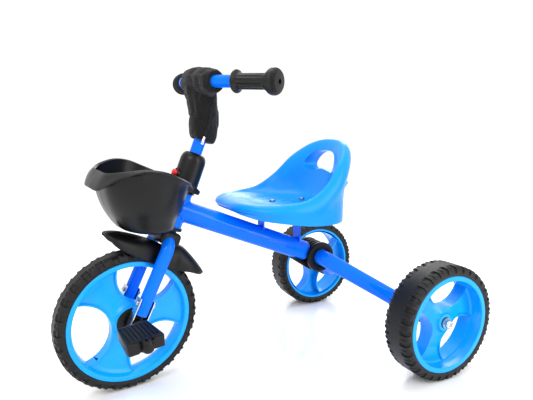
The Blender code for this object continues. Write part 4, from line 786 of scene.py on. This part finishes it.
def fork():
    """Inverted U of tube, bored out at the foot of each leg, with the steerer above."""
    obj = tube("fork_tube", fork_path(), 11 * MM, 0, FRAME_BLUE, sides=48)
    steerer = lathe("steerer", rod(12.7, 265, 392), FRAME_BLUE, axis="Z", segments=48)
    combine(obj, steerer, "UNION")
    bore = lathe("bore", rod(11.3, 346, 396), FRAME_BLUE, axis="Z", segments=48)
    combine(obj, bore, "DIFFERENCE")
    for side in (1, -1):
        leg = LEG @ Matrix.Translation((side * 34 * MM, 0, 0))
        hollow = lathe("hollow", rod(9.4, 15, 80), FRAME_BLUE, leg, "Z", 48)
        combine(obj, hollow, "DIFFERENCE")
    obj.data.transform(STEER)
    round_edges(obj, 0.5 * MM)
    stand_for(obj, "steering", "fork")


def crown_hood():
    """Plastic hood over the crown."""
    middle = (0, -CROWN_BACK / MM + 2, CROWN_UP / MM + 3.2)
    obj = box_mesh("crown_hood", (60, 37, 21.5), middle, BLACK, bevel=7 * MM, segments=6)
    settle(obj)
    combine(obj, tube("room", fork_path(), 11.3 * MM, 0, BLACK, sides=40), "DIFFERENCE")
    obj.data.transform(STEER)
    round_edges(obj, 0.5 * MM)
    stand_for(obj, "steering", "crown_cover")


FENDER = [
    (-107, 253, 10, 3, 1), (-102, 256, 19, 9, 3), (-86, 260, 26, 20, 0), (-64, 261.5, 27.5, 27, 0),
    (-36, 261, 25.5, 32, 0), (-14, 257.5, 22.5, 32, 0), (6, 256, 21.5, 32, 0), (20, 262, 21.5, 40, 0),
    (32, 262, 24, 38, 0), (52, 252, 26, 26, 0), (72, 239, 23, 14, -2), (86, 229, 13, 5, -4), (90, 226, 5, 2, -3),
]


def mudguard():
    """Shell over the front tyre: blunt nose, waist between the legs, drooping tail."""
    rows = []
    for start, end, before, after in zip(FENDER, FENDER[1:], [FENDER[0]] + FENDER, FENDER[2:] + [FENDER[-1]]):
        for k in range(8):
            t = k / 8
            rows.append([
                0.5 * (2 * b + (c - a) * t + (2 * a - 5 * b + 4 * c - d) * t * t + (3 * b - a - 3 * c + d) * t**3)
                for a, b, c, d in zip(before, start, end, after)
            ])
    rows.append(list(FENDER[-1]))
    rings = []
    for y, z, half, droop, lift in rows:
        outer, inner = [], []
        for i in range(29):
            a = pi * i / 28
            high = sin(a) ** 0.8
            x = -half * cos(a)
            outer.append(Vector((x, y + lift * (1 - sin(a)), z - droop * (1 - high))) * MM)
            shrink = 1 - 2.5 / max(half, 5)
            inner.append(Vector((x * shrink, y + lift * (1 - sin(a)), z - droop * (1 - high) - 2.5)) * MM)
        rings.append(outer + inner[::-1])
    obj = loft("mudguard_shell", rings, BLACK)
    combine(obj, tube("room", fork_path(), 11.4 * MM, 0, BLACK, sides=40), "DIFFERENCE")
    obj.data.transform(STEER)
    round_edges(obj, 0.9 * MM, 3, 40.0)
    stand_for(obj, "steering", "mudguard")


def column_cover():
    """Domed cap with the button's well, sunk behind a thin raised ring."""
    outline = [(13.1, 354.4), (22, 354.4), (22, 405)]
    for i in range(1, 13):
        a = pi / 2 * i / 12
        outline.append((22 - 9 * (1 - cos(a)), 405 + 16 * sin(a)))
    outline += [(11.4, 421), (11.4, 392.4), (13.1, 392.4)]
    obj = lathe("column_cap", outline, SATIN_BLACK, axis="Z", segments=72)
    at = Matrix.Translation((0, 0, 379 * MM))
    outline = rounded_outline([(6.6, -23.6), (9.2, -23.6), (9.2, -18), (6.6, -18)], 0.8)
    ring = lathe("ring", outline, SATIN_BLACK, at, "Y", 48)
    combine(obj, ring, "UNION")
    well = lathe("well", rod(6.5, -40, -16), SATIN_BLACK, at, "Y", 48)
    combine(obj, well, "DIFFERENCE")
    obj.data.transform(STEER)
    round_edges(obj, 0.6 * MM)
    stand_for(obj, "steering", "column_cover")
    outline = [(0, -29.5), (3.4, -29.3), (5.0, -28.7), (5.8, -27.6), (6, -26.4), (6, -19.3), (3.6, -19.3)]
    outline += [(3.6, -6.5), (0, -6.5)]
    button = lathe("button", outline, RED, STEER @ at, "Y", 48)
    stand_for(button, "button", "release_button")


BASKET_CREST = [
    (0, -146, 342), (35, -145, 343), (62, -130, 354), (78, -105, 368), (86, -78, 374), (82, -50, 373),
    (64, -26, 371), (45, -13, 368), (31, -5, 366), (19, -22, 366), (0, -30, 366),
]
BASKET_LIP = [
    (0, -152, 317), (37, -149, 319), (67, -137, 341), (83, -109, 364), (90, -79, 371), (85, -47, 370),
    (66, -23, 368), (46, -10, 365), (33, -1, 363), (18, -20, 363), (0, -28, 363),
]
BASKET_MID = [
    (0, -128, 302), (36, -124, 303), (60, -108, 308), (72, -86, 314), (76, -62, 320), (70, -40, 324),
    (56, -22, 327), (42, -13, 328), (31, -8, 328), (19, -23, 328), (0, -30, 328),
]
BASKET_LOW = [
    (0, -108, 280), (32, -104, 281), (52, -90, 286), (62, -70, 291), (64, -50, 296), (58, -32, 300),
    (47, -20, 303), (38, -14, 305), (30, -11, 306), (19, -24, 307), (0, -30, 308),
]
BASKET_BOTTOM = [
    (0, -84, 266), (24, -81, 267), (42, -69, 270), (50, -54, 274), (50, -40, 278), (45, -27, 282),
    (39, -20, 284), (33, -16, 285), (27, -14, 286), (17, -25, 287), (0, -30, 288),
]


def basket():
    """Tub with a rolled lip that droops in front, and a collar round the column."""
    steps = 7
    tables = (BASKET_CREST, BASKET_LIP, BASKET_MID, BASKET_LOW, BASKET_BOTTOM)
    crest, lip, mid, low, bottom = [mirrored(spline(rows, steps)) for rows in tables]
    centre = Vector((0, -56, 276)) * MM
    under = [p + (centre - p) * 0.96 for p in bottom]
    outer = across_rings([under, bottom, low, mid, inset_ring(crest, 2 * MM, -9 * MM)], 4)
    under_lip = [inset_ring(lip, 3 * MM, -1 * MM), inset_ring(lip, 1.5 * MM, -2.4 * MM)]
    rim = across_rings(under_lip + [lip, crest, inset_ring(crest, 4.5 * MM, -0.6 * MM)], 4)
    floor_ring = [p + (centre - p) * 0.96 + Vector((0, 0, 3 * MM)) for p in bottom]
    walls = [inset_ring(crest, 5.5 * MM, -9 * MM), inset_ring(mid, 3 * MM), inset_ring(low, 3 * MM, 1 * MM)]
    inner = across_rings(walls + [inset_ring(bottom, 3 * MM, 3 * MM), floor_ring], 4)
    obj = loft("basket_tub", outer + rim + inner, SATIN_BLACK, sharp=50.0)
    outline = rounded_outline([(0, 354.9), (28.6, 354.9), (29.6, 372), (0, 372)], 1.2)
    collar = lathe("collar", outline, SATIN_BLACK, axis="Z")
    slope = Matrix.Translation((0, -6 * MM, 370 * MM)) @ Matrix.Rotation(radians(-16), 4, "X")
    combine(collar, box_mesh("above", (100, 140, 40), (0, 0, 20), SATIN_BLACK, slope, bevel=0), "DIFFERENCE")
    combine(obj, collar, "UNION", 40.0)
    bore = lathe("bore", rod(22.4, 240, 400), SATIN_BLACK, axis="Z")
    combine(obj, bore, "DIFFERENCE", 40.0)
    obj.data.transform(STEER)
    round_edges(obj, 0.6 * MM, 2, 45.0)
    stand_for(obj, "steering", "basket")


fork()
crown_hood()
mudguard()
column_cover()
basket()


# ---- Handlebar ---------------------------------------------------------------------------------------------

REACH, BAR_UP = -36.8, 535.3
ARM_END = 121.0


def arm(side):
    """One swept-back arm of the crossbar: X runs along it from the bend."""
    turn = Matrix.Rotation(side * radians(22), 4, "Z") @ Matrix.Rotation(-side * radians(8), 4, "Y")
    return Matrix.Translation((side * 54 * MM, REACH * MM, BAR_UP * MM)) @ turn


def handlebar():
    """Stem and swept crossbar, welded under the sleeve."""
    points = [Vector((0, 0, 352)) * MM, Vector((0, 0, 455)) * MM, Vector((0, REACH, BAR_UP - 3)) * MM]
    obj = tube("bars", bent(points, 40 * MM, 12), 10.5 * MM, 0, FRAME_BLUE, sides=48)
    ends = [arm(side) @ Vector((side * (ARM_END - 8) * MM, 0, 0)) for side in (1, -1)]
    path = bent([ends[0], arm(1).translation, arm(-1).translation, ends[1]], 30 * MM, 10)
    combine(obj, tube("cross", path, 10 * MM, 0, FRAME_BLUE, sides=48), "UNION")
    for side in (1, -1):
        outline = rod(8.5, 16, 120)
        combine(obj, lathe("bore", outline, FRAME_BLUE, arm(side), flip=side, segments=48), "DIFFERENCE")
    bore = lathe("bore", rod(9.0, 340, 436), FRAME_BLUE, axis="Z", segments=48)
    combine(obj, bore, "DIFFERENCE")
    obj.data.transform(STEER)
    round_edges(obj, 0.4 * MM)
    stand_for(obj, "steering", "handlebar")


def grips():
    """Moulded grips: a flange, a fluted shaft, and a stepped ball end with its small drain hole."""
    for word, flip in (("left", 1), ("right", -1)):
        outline = [(10.3, 41.5), (15.6, 41.5), (17.6, 42.2), (18.2, 43.6), (17.6, 45.2), (14.6, 46.6), (12.6, 48.6)]
        outline += [(11.9, 51), (11.9, 94), (12.6, 96), (13.4, 97.6)]
        before = 13.4
        for i in range(1, 15):
            a = pi * (0.13 + 0.72 * i / 14)
            radius = 20.3 * sin(a) ** 0.62
            x = ARM_END - 11 - 11 * cos(a)
            outline += [(before, x), (radius, x + 0.25)]
            before = radius
        outline += [(8.0, ARM_END - 0.4), (4.2, ARM_END), (3.8, ARM_END - 0.8), (3.8, ARM_END - 7.2), (10.3, ARM_END - 7.2)]
        grip = lathe("grip_" + word + "_rubber", outline, GRIP, flip=flip, segments=96, sharp=24.0)
        for vert in grip.data.vertices:
            radius = Vector((vert.co.y, vert.co.z)).length
            if 0.050 < abs(vert.co.x) < 0.0955 and radius > 0.0112:
                swell = 1 + 0.05 * cos(12 * atan2(vert.co.z, vert.co.y))
                vert.co.y *= swell
                vert.co.z *= swell
        grip.data.transform(STEER @ arm(flip))
        stand_for(grip, "steering", "grip_" + word)


handlebar()
grips()


# ---- Fabric sleeve -----------------------------------------------------------------------------------------


def cloth_sleeve():
    """The padded sleeve: the CAD's own surface, puffed up as cloth and then creased."""
    source = frame["nodes"]["handlebar_pad"]
    bpy.context.view_layer.update()
    mesh = source.data.copy()
    mesh.transform(source.matrix_world)
    obj = bpy.data.objects.new("sleeve", mesh)
    bpy.context.scene.collection.objects.link(obj)
    modifier = obj.modifiers.new("Remesh", "REMESH")
    modifier.mode = "VOXEL"
    modifier.voxel_size = 3.2 * MM
    modifier.use_smooth_shade = True
    settle(obj, 60.0)
    back = STEER.inverted()
    seams = []
    for vert in obj.data.vertices:
        p = back @ vert.co / MM
        seams.append(seam_depth(p))
    rest = [vert.co.copy() for vert in obj.data.vertices]
    cloth = obj.modifiers.new("Cloth", "CLOTH")
    cloth.settings.quality = 5
    cloth.settings.mass = 0.3
    cloth.settings.use_pressure = True
    cloth.settings.uniform_pressure_force = 3.0
    cloth.settings.tension_stiffness = 20.0
    cloth.settings.compression_stiffness = 20.0
    cloth.settings.bending_stiffness = 0.2
    cloth.settings.shrink_min = -0.04
    cloth.settings.effector_weights.gravity = 0.0
    cloth.collision_settings.use_self_collision = False
    cloth.point_cache.frame_start = 1
    cloth.point_cache.frame_end = 12
    pins = obj.vertex_groups.new(name="held")
    for vert, depth in zip(obj.data.vertices, seams):
        p = back @ vert.co / MM
        tight = min(1.0, depth + (1.0 if p.x > 54 or p.x < -35 or p.z < 452 else 0.0))
        pins.add([vert.index], tight, "REPLACE")
    cloth.settings.vertex_group_mass = "held"
    for number in range(1, 13):
        bpy.context.scene.frame_set(number)
    settle(obj, 60.0)
    bpy.context.scene.frame_set(1)
    for vert, start, depth in zip(obj.data.vertices, rest, seams):
        move = vert.co - start
        if move.length > 4.0 * MM:
            move = move.normalized() * (4.0 * MM)
        vert.co = start + move
    add_creases(obj, back, seams)
    add_smoothing(obj, 1)
    obj.data.materials.clear()
    obj.data.materials.append(CLOTH)
    return stand_for(obj, "steering", "handlebar_pad")


def seam_depth(p):
    """1 on a seam of the sleeve, in the steering frame's millimetres, falling to 0 beside it."""
    zip_line = abs(p.y - zip_y(p.z)) if p.x > 8 and p.z < 514 else 9.0
    edge = abs(p.y - (REACH - 4 + 0.25 * (BAR_UP - p.z))) if abs(p.x) > 10 and p.z > 470 else 9.0
    return max(0.0, 1 - zip_line / 3.2, 0.6 * (1 - edge / 2.4))


def zip_y(z):
    """Set-back of the zip on the sleeve's left side at this height."""
    return -7.0 - 0.22 * max(0.0, z - 470)


def add_creases(obj, back, seams):
    """Fine slack wrinkles that run out from the joint, and the dips of the seams."""
    mesh = obj.data
    normals = [vert.normal.copy() for vert in mesh.vertices]
    for vert, normal, seam in zip(mesh.vertices, normals, seams):
        p = back @ vert.co / MM
        away = atan2(p.z - 505, p.x + 1e-6)
        slack = noise.noise(Vector((p.x / 26, p.y / 22, p.z / 16)))
        fold = sin(3.0 * away + p.z / 9.0 + 3.0 * noise.noise(Vector((p.x / 34, p.y / 34, p.z / 34))))
        full = 2.4 if p.z < 512 else 1.0  # the apron hangs fuller than the ends
        depth = full + 0.3 * slack + 0.22 * fold * (0.4 + abs(slack))
        vert.co += normal * (depth - 0.9 * seam) * MM


def piping():
    """Bound ends of the sleeve."""
    at = STEER @ Matrix.Translation((0, REACH * MM, BAR_UP * MM))
    for word, flip, x, radius in (("right", -1, 39.0, 13.0), ("left", 1, 58.0, 16.0)):
        outline = [(10.6, x - 1.6), (radius, x - 2.0), (radius + 1.1, x - 0.5), (radius, x + 0.9), (10.6, x + 0.7)]
        band = lathe("binding_" + word, rounded_outline(outline, 0.6), CLOTH, at, flip=flip, segments=48)
        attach(band, "steering")


def zip_teeth(surface):
    """Two rows of small teeth laid on the sleeve along its zip."""
    back = STEER.inverted()
    local = [back @ vert.co / MM for vert in surface.data.vertices]
    bm = bmesh.new()
    for i in range(36):
        z = 449 + 1.8 * i
        for row in (-1, 1):
            y = zip_y(z) + row * 0.9
            near = [p.x for p in local if abs(p.y - y) < 3.2 and abs(p.z - z) < 3.2 and p.x > 0]
            if not near:
                continue
            size = Vector((1.1, 1.3, 0.9)) * MM
            place = Matrix.Translation(Vector((max(near) - 0.2, y, z + row * 0.45)) * MM)
            bmesh.ops.create_cube(bm, size=1.0, matrix=STEER @ place @ Matrix.Diagonal((*size, 1)))
    teeth = new_object("zip_teeth", bm, THREAD)
    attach(teeth, "steering")


zip_teeth(cloth_sleeve())
piping()

pull_at = STEER @ Matrix.Translation((25.6 * MM, -7 * MM, 444 * MM)) @ Matrix.Rotation(pi / 2, 4, "Z")
pull = box_mesh("puller", (5, 1.6, 14), (0, 0, 0), STEEL, bevel=0.7 * MM)
settle(pull)
eye = lathe("eye", rod(1.1, -3, 3), STEEL, Matrix.Translation((0, 0, -4.2 * MM)), "Y", 24)
combine(pull, eye, "DIFFERENCE")
pull.data.transform(pull_at)
round_edges(pull, 0.2 * MM)
stand_for(pull, "steering", "zip_slider")


# ---- Axle clips, crank and pedals --------------------------------------------------------------------------


def clips():
    """Pressed clip under each fork leg with its bearing, bolt and nut."""
    for word, side in (("left", 1), ("right", -1)):
        at = STEER @ LEG @ Matrix.Translation((side * 34 * MM, 0, 0))
        outline = [(6.4, -10), (12.6, -10), (12.6, -8.3), (10.6, -8.3)]
        outline += [(r, -x) for r, x in outline[::-1]]
        bearing = lathe("bearing_" + word, rounded_outline(outline, 0.4), BLACK, at)
        stand_for(bearing, "steering", "axle_bearing_" + word)
        turns = [pi * i / 24 for i in range(25)]
        strap = [(13.3, 47)] + [(13.3 * cos(a), -13.3 * sin(a)) for a in turns] + [(-13.3, 47)]
        strap += [(-11.3, 47)] + [(-11.3 * cos(a), -11.3 * sin(a)) for a in reversed(turns)][::-1] + [(11.3, 47)]
        clip = prism("clip_" + word, strap, 8, ZINC)
        hole = lathe("hole", rod(2.8, -30, 30), ZINC, Matrix.Translation((0, 0, 38 * MM)), "Y", 32)
        combine(clip, hole, "DIFFERENCE")
        clip.data.transform(at)
        round_edges(clip, 0.5 * MM)
        stand_for(clip, "steering", "axle_clip_" + word)
        up = at @ Matrix.Translation((0, 0, 38 * MM))
        outline = [(0, -16.8), (2.4, -16.6), (4.5, -15.2), (4.5, -13.6), (2.5, -13.6), (2.5, 18.6), (0, 18.6)]
        bolt = lathe("bolt_" + word, rounded_outline(outline, 0.4), STEEL, axis="Y", segments=40)
        cross_slots(bolt, (4.4, 1.6, 0.9), (0, -16.8, 0), STEEL, 0.4, "Y")
        bolt.data.transform(up)
        stand_for(bolt, "steering", "clip_bolt_" + word)
        nut = lathe("nut_" + word, [(2.8, 13.6), (4.6, 13.6), (4.6, 17.1), (2.8, 17.1)], STEEL, up, "Y", 6)
        round_edges(nut, 0.4 * MM)
        stand_for(nut, "steering", "clip_nut_" + word)


CRANK_TURN = radians(155)


def crank():
    """Bent steel axle of the front wheel."""
    throw = Vector((0, 36 * MM * cos(CRANK_TURN), 36 * MM * sin(CRANK_TURN)))
    left = [Vector((158 * MM, 0, 0)) + throw, Vector((86 * MM, 0, 0)) + throw, Vector((50 * MM, 0, 0))]
    path = bent(left + [-p for p in left[::-1]], 9 * MM, 8)
    obj = tube("crank", path, 6 * MM, 0, STEEL, FRONT_AXLE, sides=36)
    stand_for(obj, "front_wheel", "crank_axle")


def pedal(word, side, body):
    """Tapered block, ribbed across both faces, with three notches in its outer edge."""
    half, thick = 30.0, 8.7
    outline = [(-half, -23), (-half, 23), (half - 5, 28), (half, 26), (half, -26), (half - 5, -28)]
    outline = rounded_outline([(x + 100, y) for x, y in outline], 4.0, 4)
    rings = [[Vector(((x - 100) * side * MM, y * MM, z * MM)) for x, y in outline] for z in (-thick, thick)]
    obj = loft("pedal_body", rings, BLACK)
    round_edges(obj, 1.6 * MM, 4)
    settle(obj)
    for face in (-1, 1):
        for y in range(-21, 22, 6):
            groove = box_mesh("groove", (44, 1.6, 2.4), (-2 * side, y, face * 9.0), BLACK, bevel=0)
            combine(obj, groove, "DIFFERENCE")
        for y in (-9, 0, 9):
            notch = box_mesh("notch", (7, 4.6, 4.6), (30 * side, y, face * 8.4), BLACK, bevel=0)
            combine(obj, notch, "DIFFERENCE")
    bore = lathe("bore", rod(6.35, -60, 60), BLACK)
    combine(obj, bore, "DIFFERENCE")
    at = Matrix.Translation(place_of("pedal_" + word + "_spin")) @ STEER.to_3x3().to_4x4()
    tilted = at @ Matrix.Rotation(radians(25), 4, "X")
    obj.data.transform(tilted @ Matrix.Translation((side * 122 * MM, 0, 0)))
    obj.name = "pedal_block_" + word
    round_edges(obj, 0.4 * MM)
    stand_for(obj, body, "pedal_" + word)
    outline = [(6.2, 152.6), (9, 152.6), (9, 157.5), (8.2, 159.4), (6, 160.6), (0, 161.0)]
    outline += [(0, 158.2), (6.2, 158.2)]
    cap = lathe("spindle_cap_" + word, outline, BLACK, at, flip=side, segments=48)
    stand_for(cap, "front_wheel", "pedal_cap_" + word)


clips()
crank()
pedal("left", 1, "left_pedal")
pedal("right", -1, "right_pedal")

# ---- Kept CAD pieces ---------------------------------------------------------------------------------------

KEPT = {
    "rear_axle_left": ZINC, "rear_axle_right": ZINC, "axle_nut_left": ZINC, "axle_nut_right": ZINC,
    "axle_washer_left": ZINC, "axle_washer_right": ZINC, "rear_bush_left": BLACK, "rear_bush_right": BLACK,
    "seat_bolt_front": ZINC, "seat_bolt_rear": ZINC,
}
for name, mat in KEPT.items():
    data = frame["nodes"][name].data
    data.materials.clear()
    data.materials.append(mat)

# ---- Camera, light and floor -------------------------------------------------------------------------------


def camera():
    turn, down = radians(27.187), radians(8.85)
    ahead = Vector((-cos(turn) * cos(down), sin(turn) * cos(down), -sin(down)))
    data = bpy.data.cameras.new("camera")
    data.lens = 32.71
    data.sensor_width = 36
    data.clip_start = 0.01
    data.clip_end = 50
    obj = bpy.data.objects.new("camera", data)
    look = ahead.to_track_quat("-Z", "Y").to_matrix().to_4x4()
    obj.matrix_world = Matrix.Translation((0.7962, -0.3879, 0.4434)) @ look @ Matrix.Rotation(radians(0.24), 4, "Z")
    bpy.context.scene.collection.objects.link(obj)
    bpy.context.scene.camera = obj


def area_light(name, place, at, size, power, colour=(1, 1, 1)):
    data = bpy.data.lights.new(name, "AREA")
    data.shape = "RECTANGLE"
    data.size, data.size_y = size
    data.energy = power
    data.color = colour
    obj = bpy.data.objects.new(name, data)
    obj.location = place
    obj.rotation_euler = (Vector(at) - Vector(place)).to_track_quat("-Z", "Y").to_euler()
    bpy.context.scene.collection.objects.link(obj)


camera()
area_light("key", (1.4, -1.6, 2.2), (0, 0, 0.3), (1.6, 1.0), 30)
area_light("side", (2.0, 1.2, 1.0), (0, 0, 0.25), (0.5, 1.8), 20)
area_light("top", (-0.3, 0.2, 2.4), (0, 0, 0.2), (2.0, 1.4), 26)
area_light("back", (-1.8, 1.4, 1.4), (0, 0, 0.3), (1.2, 1.2), 18)

world = bpy.data.worlds.new("studio")
world.use_nodes = True
world.node_tree.nodes["Background"].inputs["Color"].default_value = (1, 1, 1, 1)
world.node_tree.nodes["Background"].inputs["Strength"].default_value = 1.06
bpy.context.scene.world = world
bpy.context.scene.view_settings.view_transform = "Standard"

floor_mat = bpy.data.materials.new("white_floor")
floor_mat.use_nodes = True
shader = floor_mat.node_tree.nodes["Principled BSDF"]
shader.inputs["Base Color"].default_value = (0.96, 0.96, 0.96, 1)
shader.inputs["Roughness"].default_value = 0.22
bm = bmesh.new()
bmesh.ops.create_grid(bm, x_segments=1, y_segments=1, size=12)
mesh = bpy.data.meshes.new("floor")
bm.to_mesh(mesh)
bm.free()
mesh.materials.append(floor_mat)
floor_obj = bpy.data.objects.new("floor", mesh)
bpy.context.scene.collection.objects.link(floor_obj)
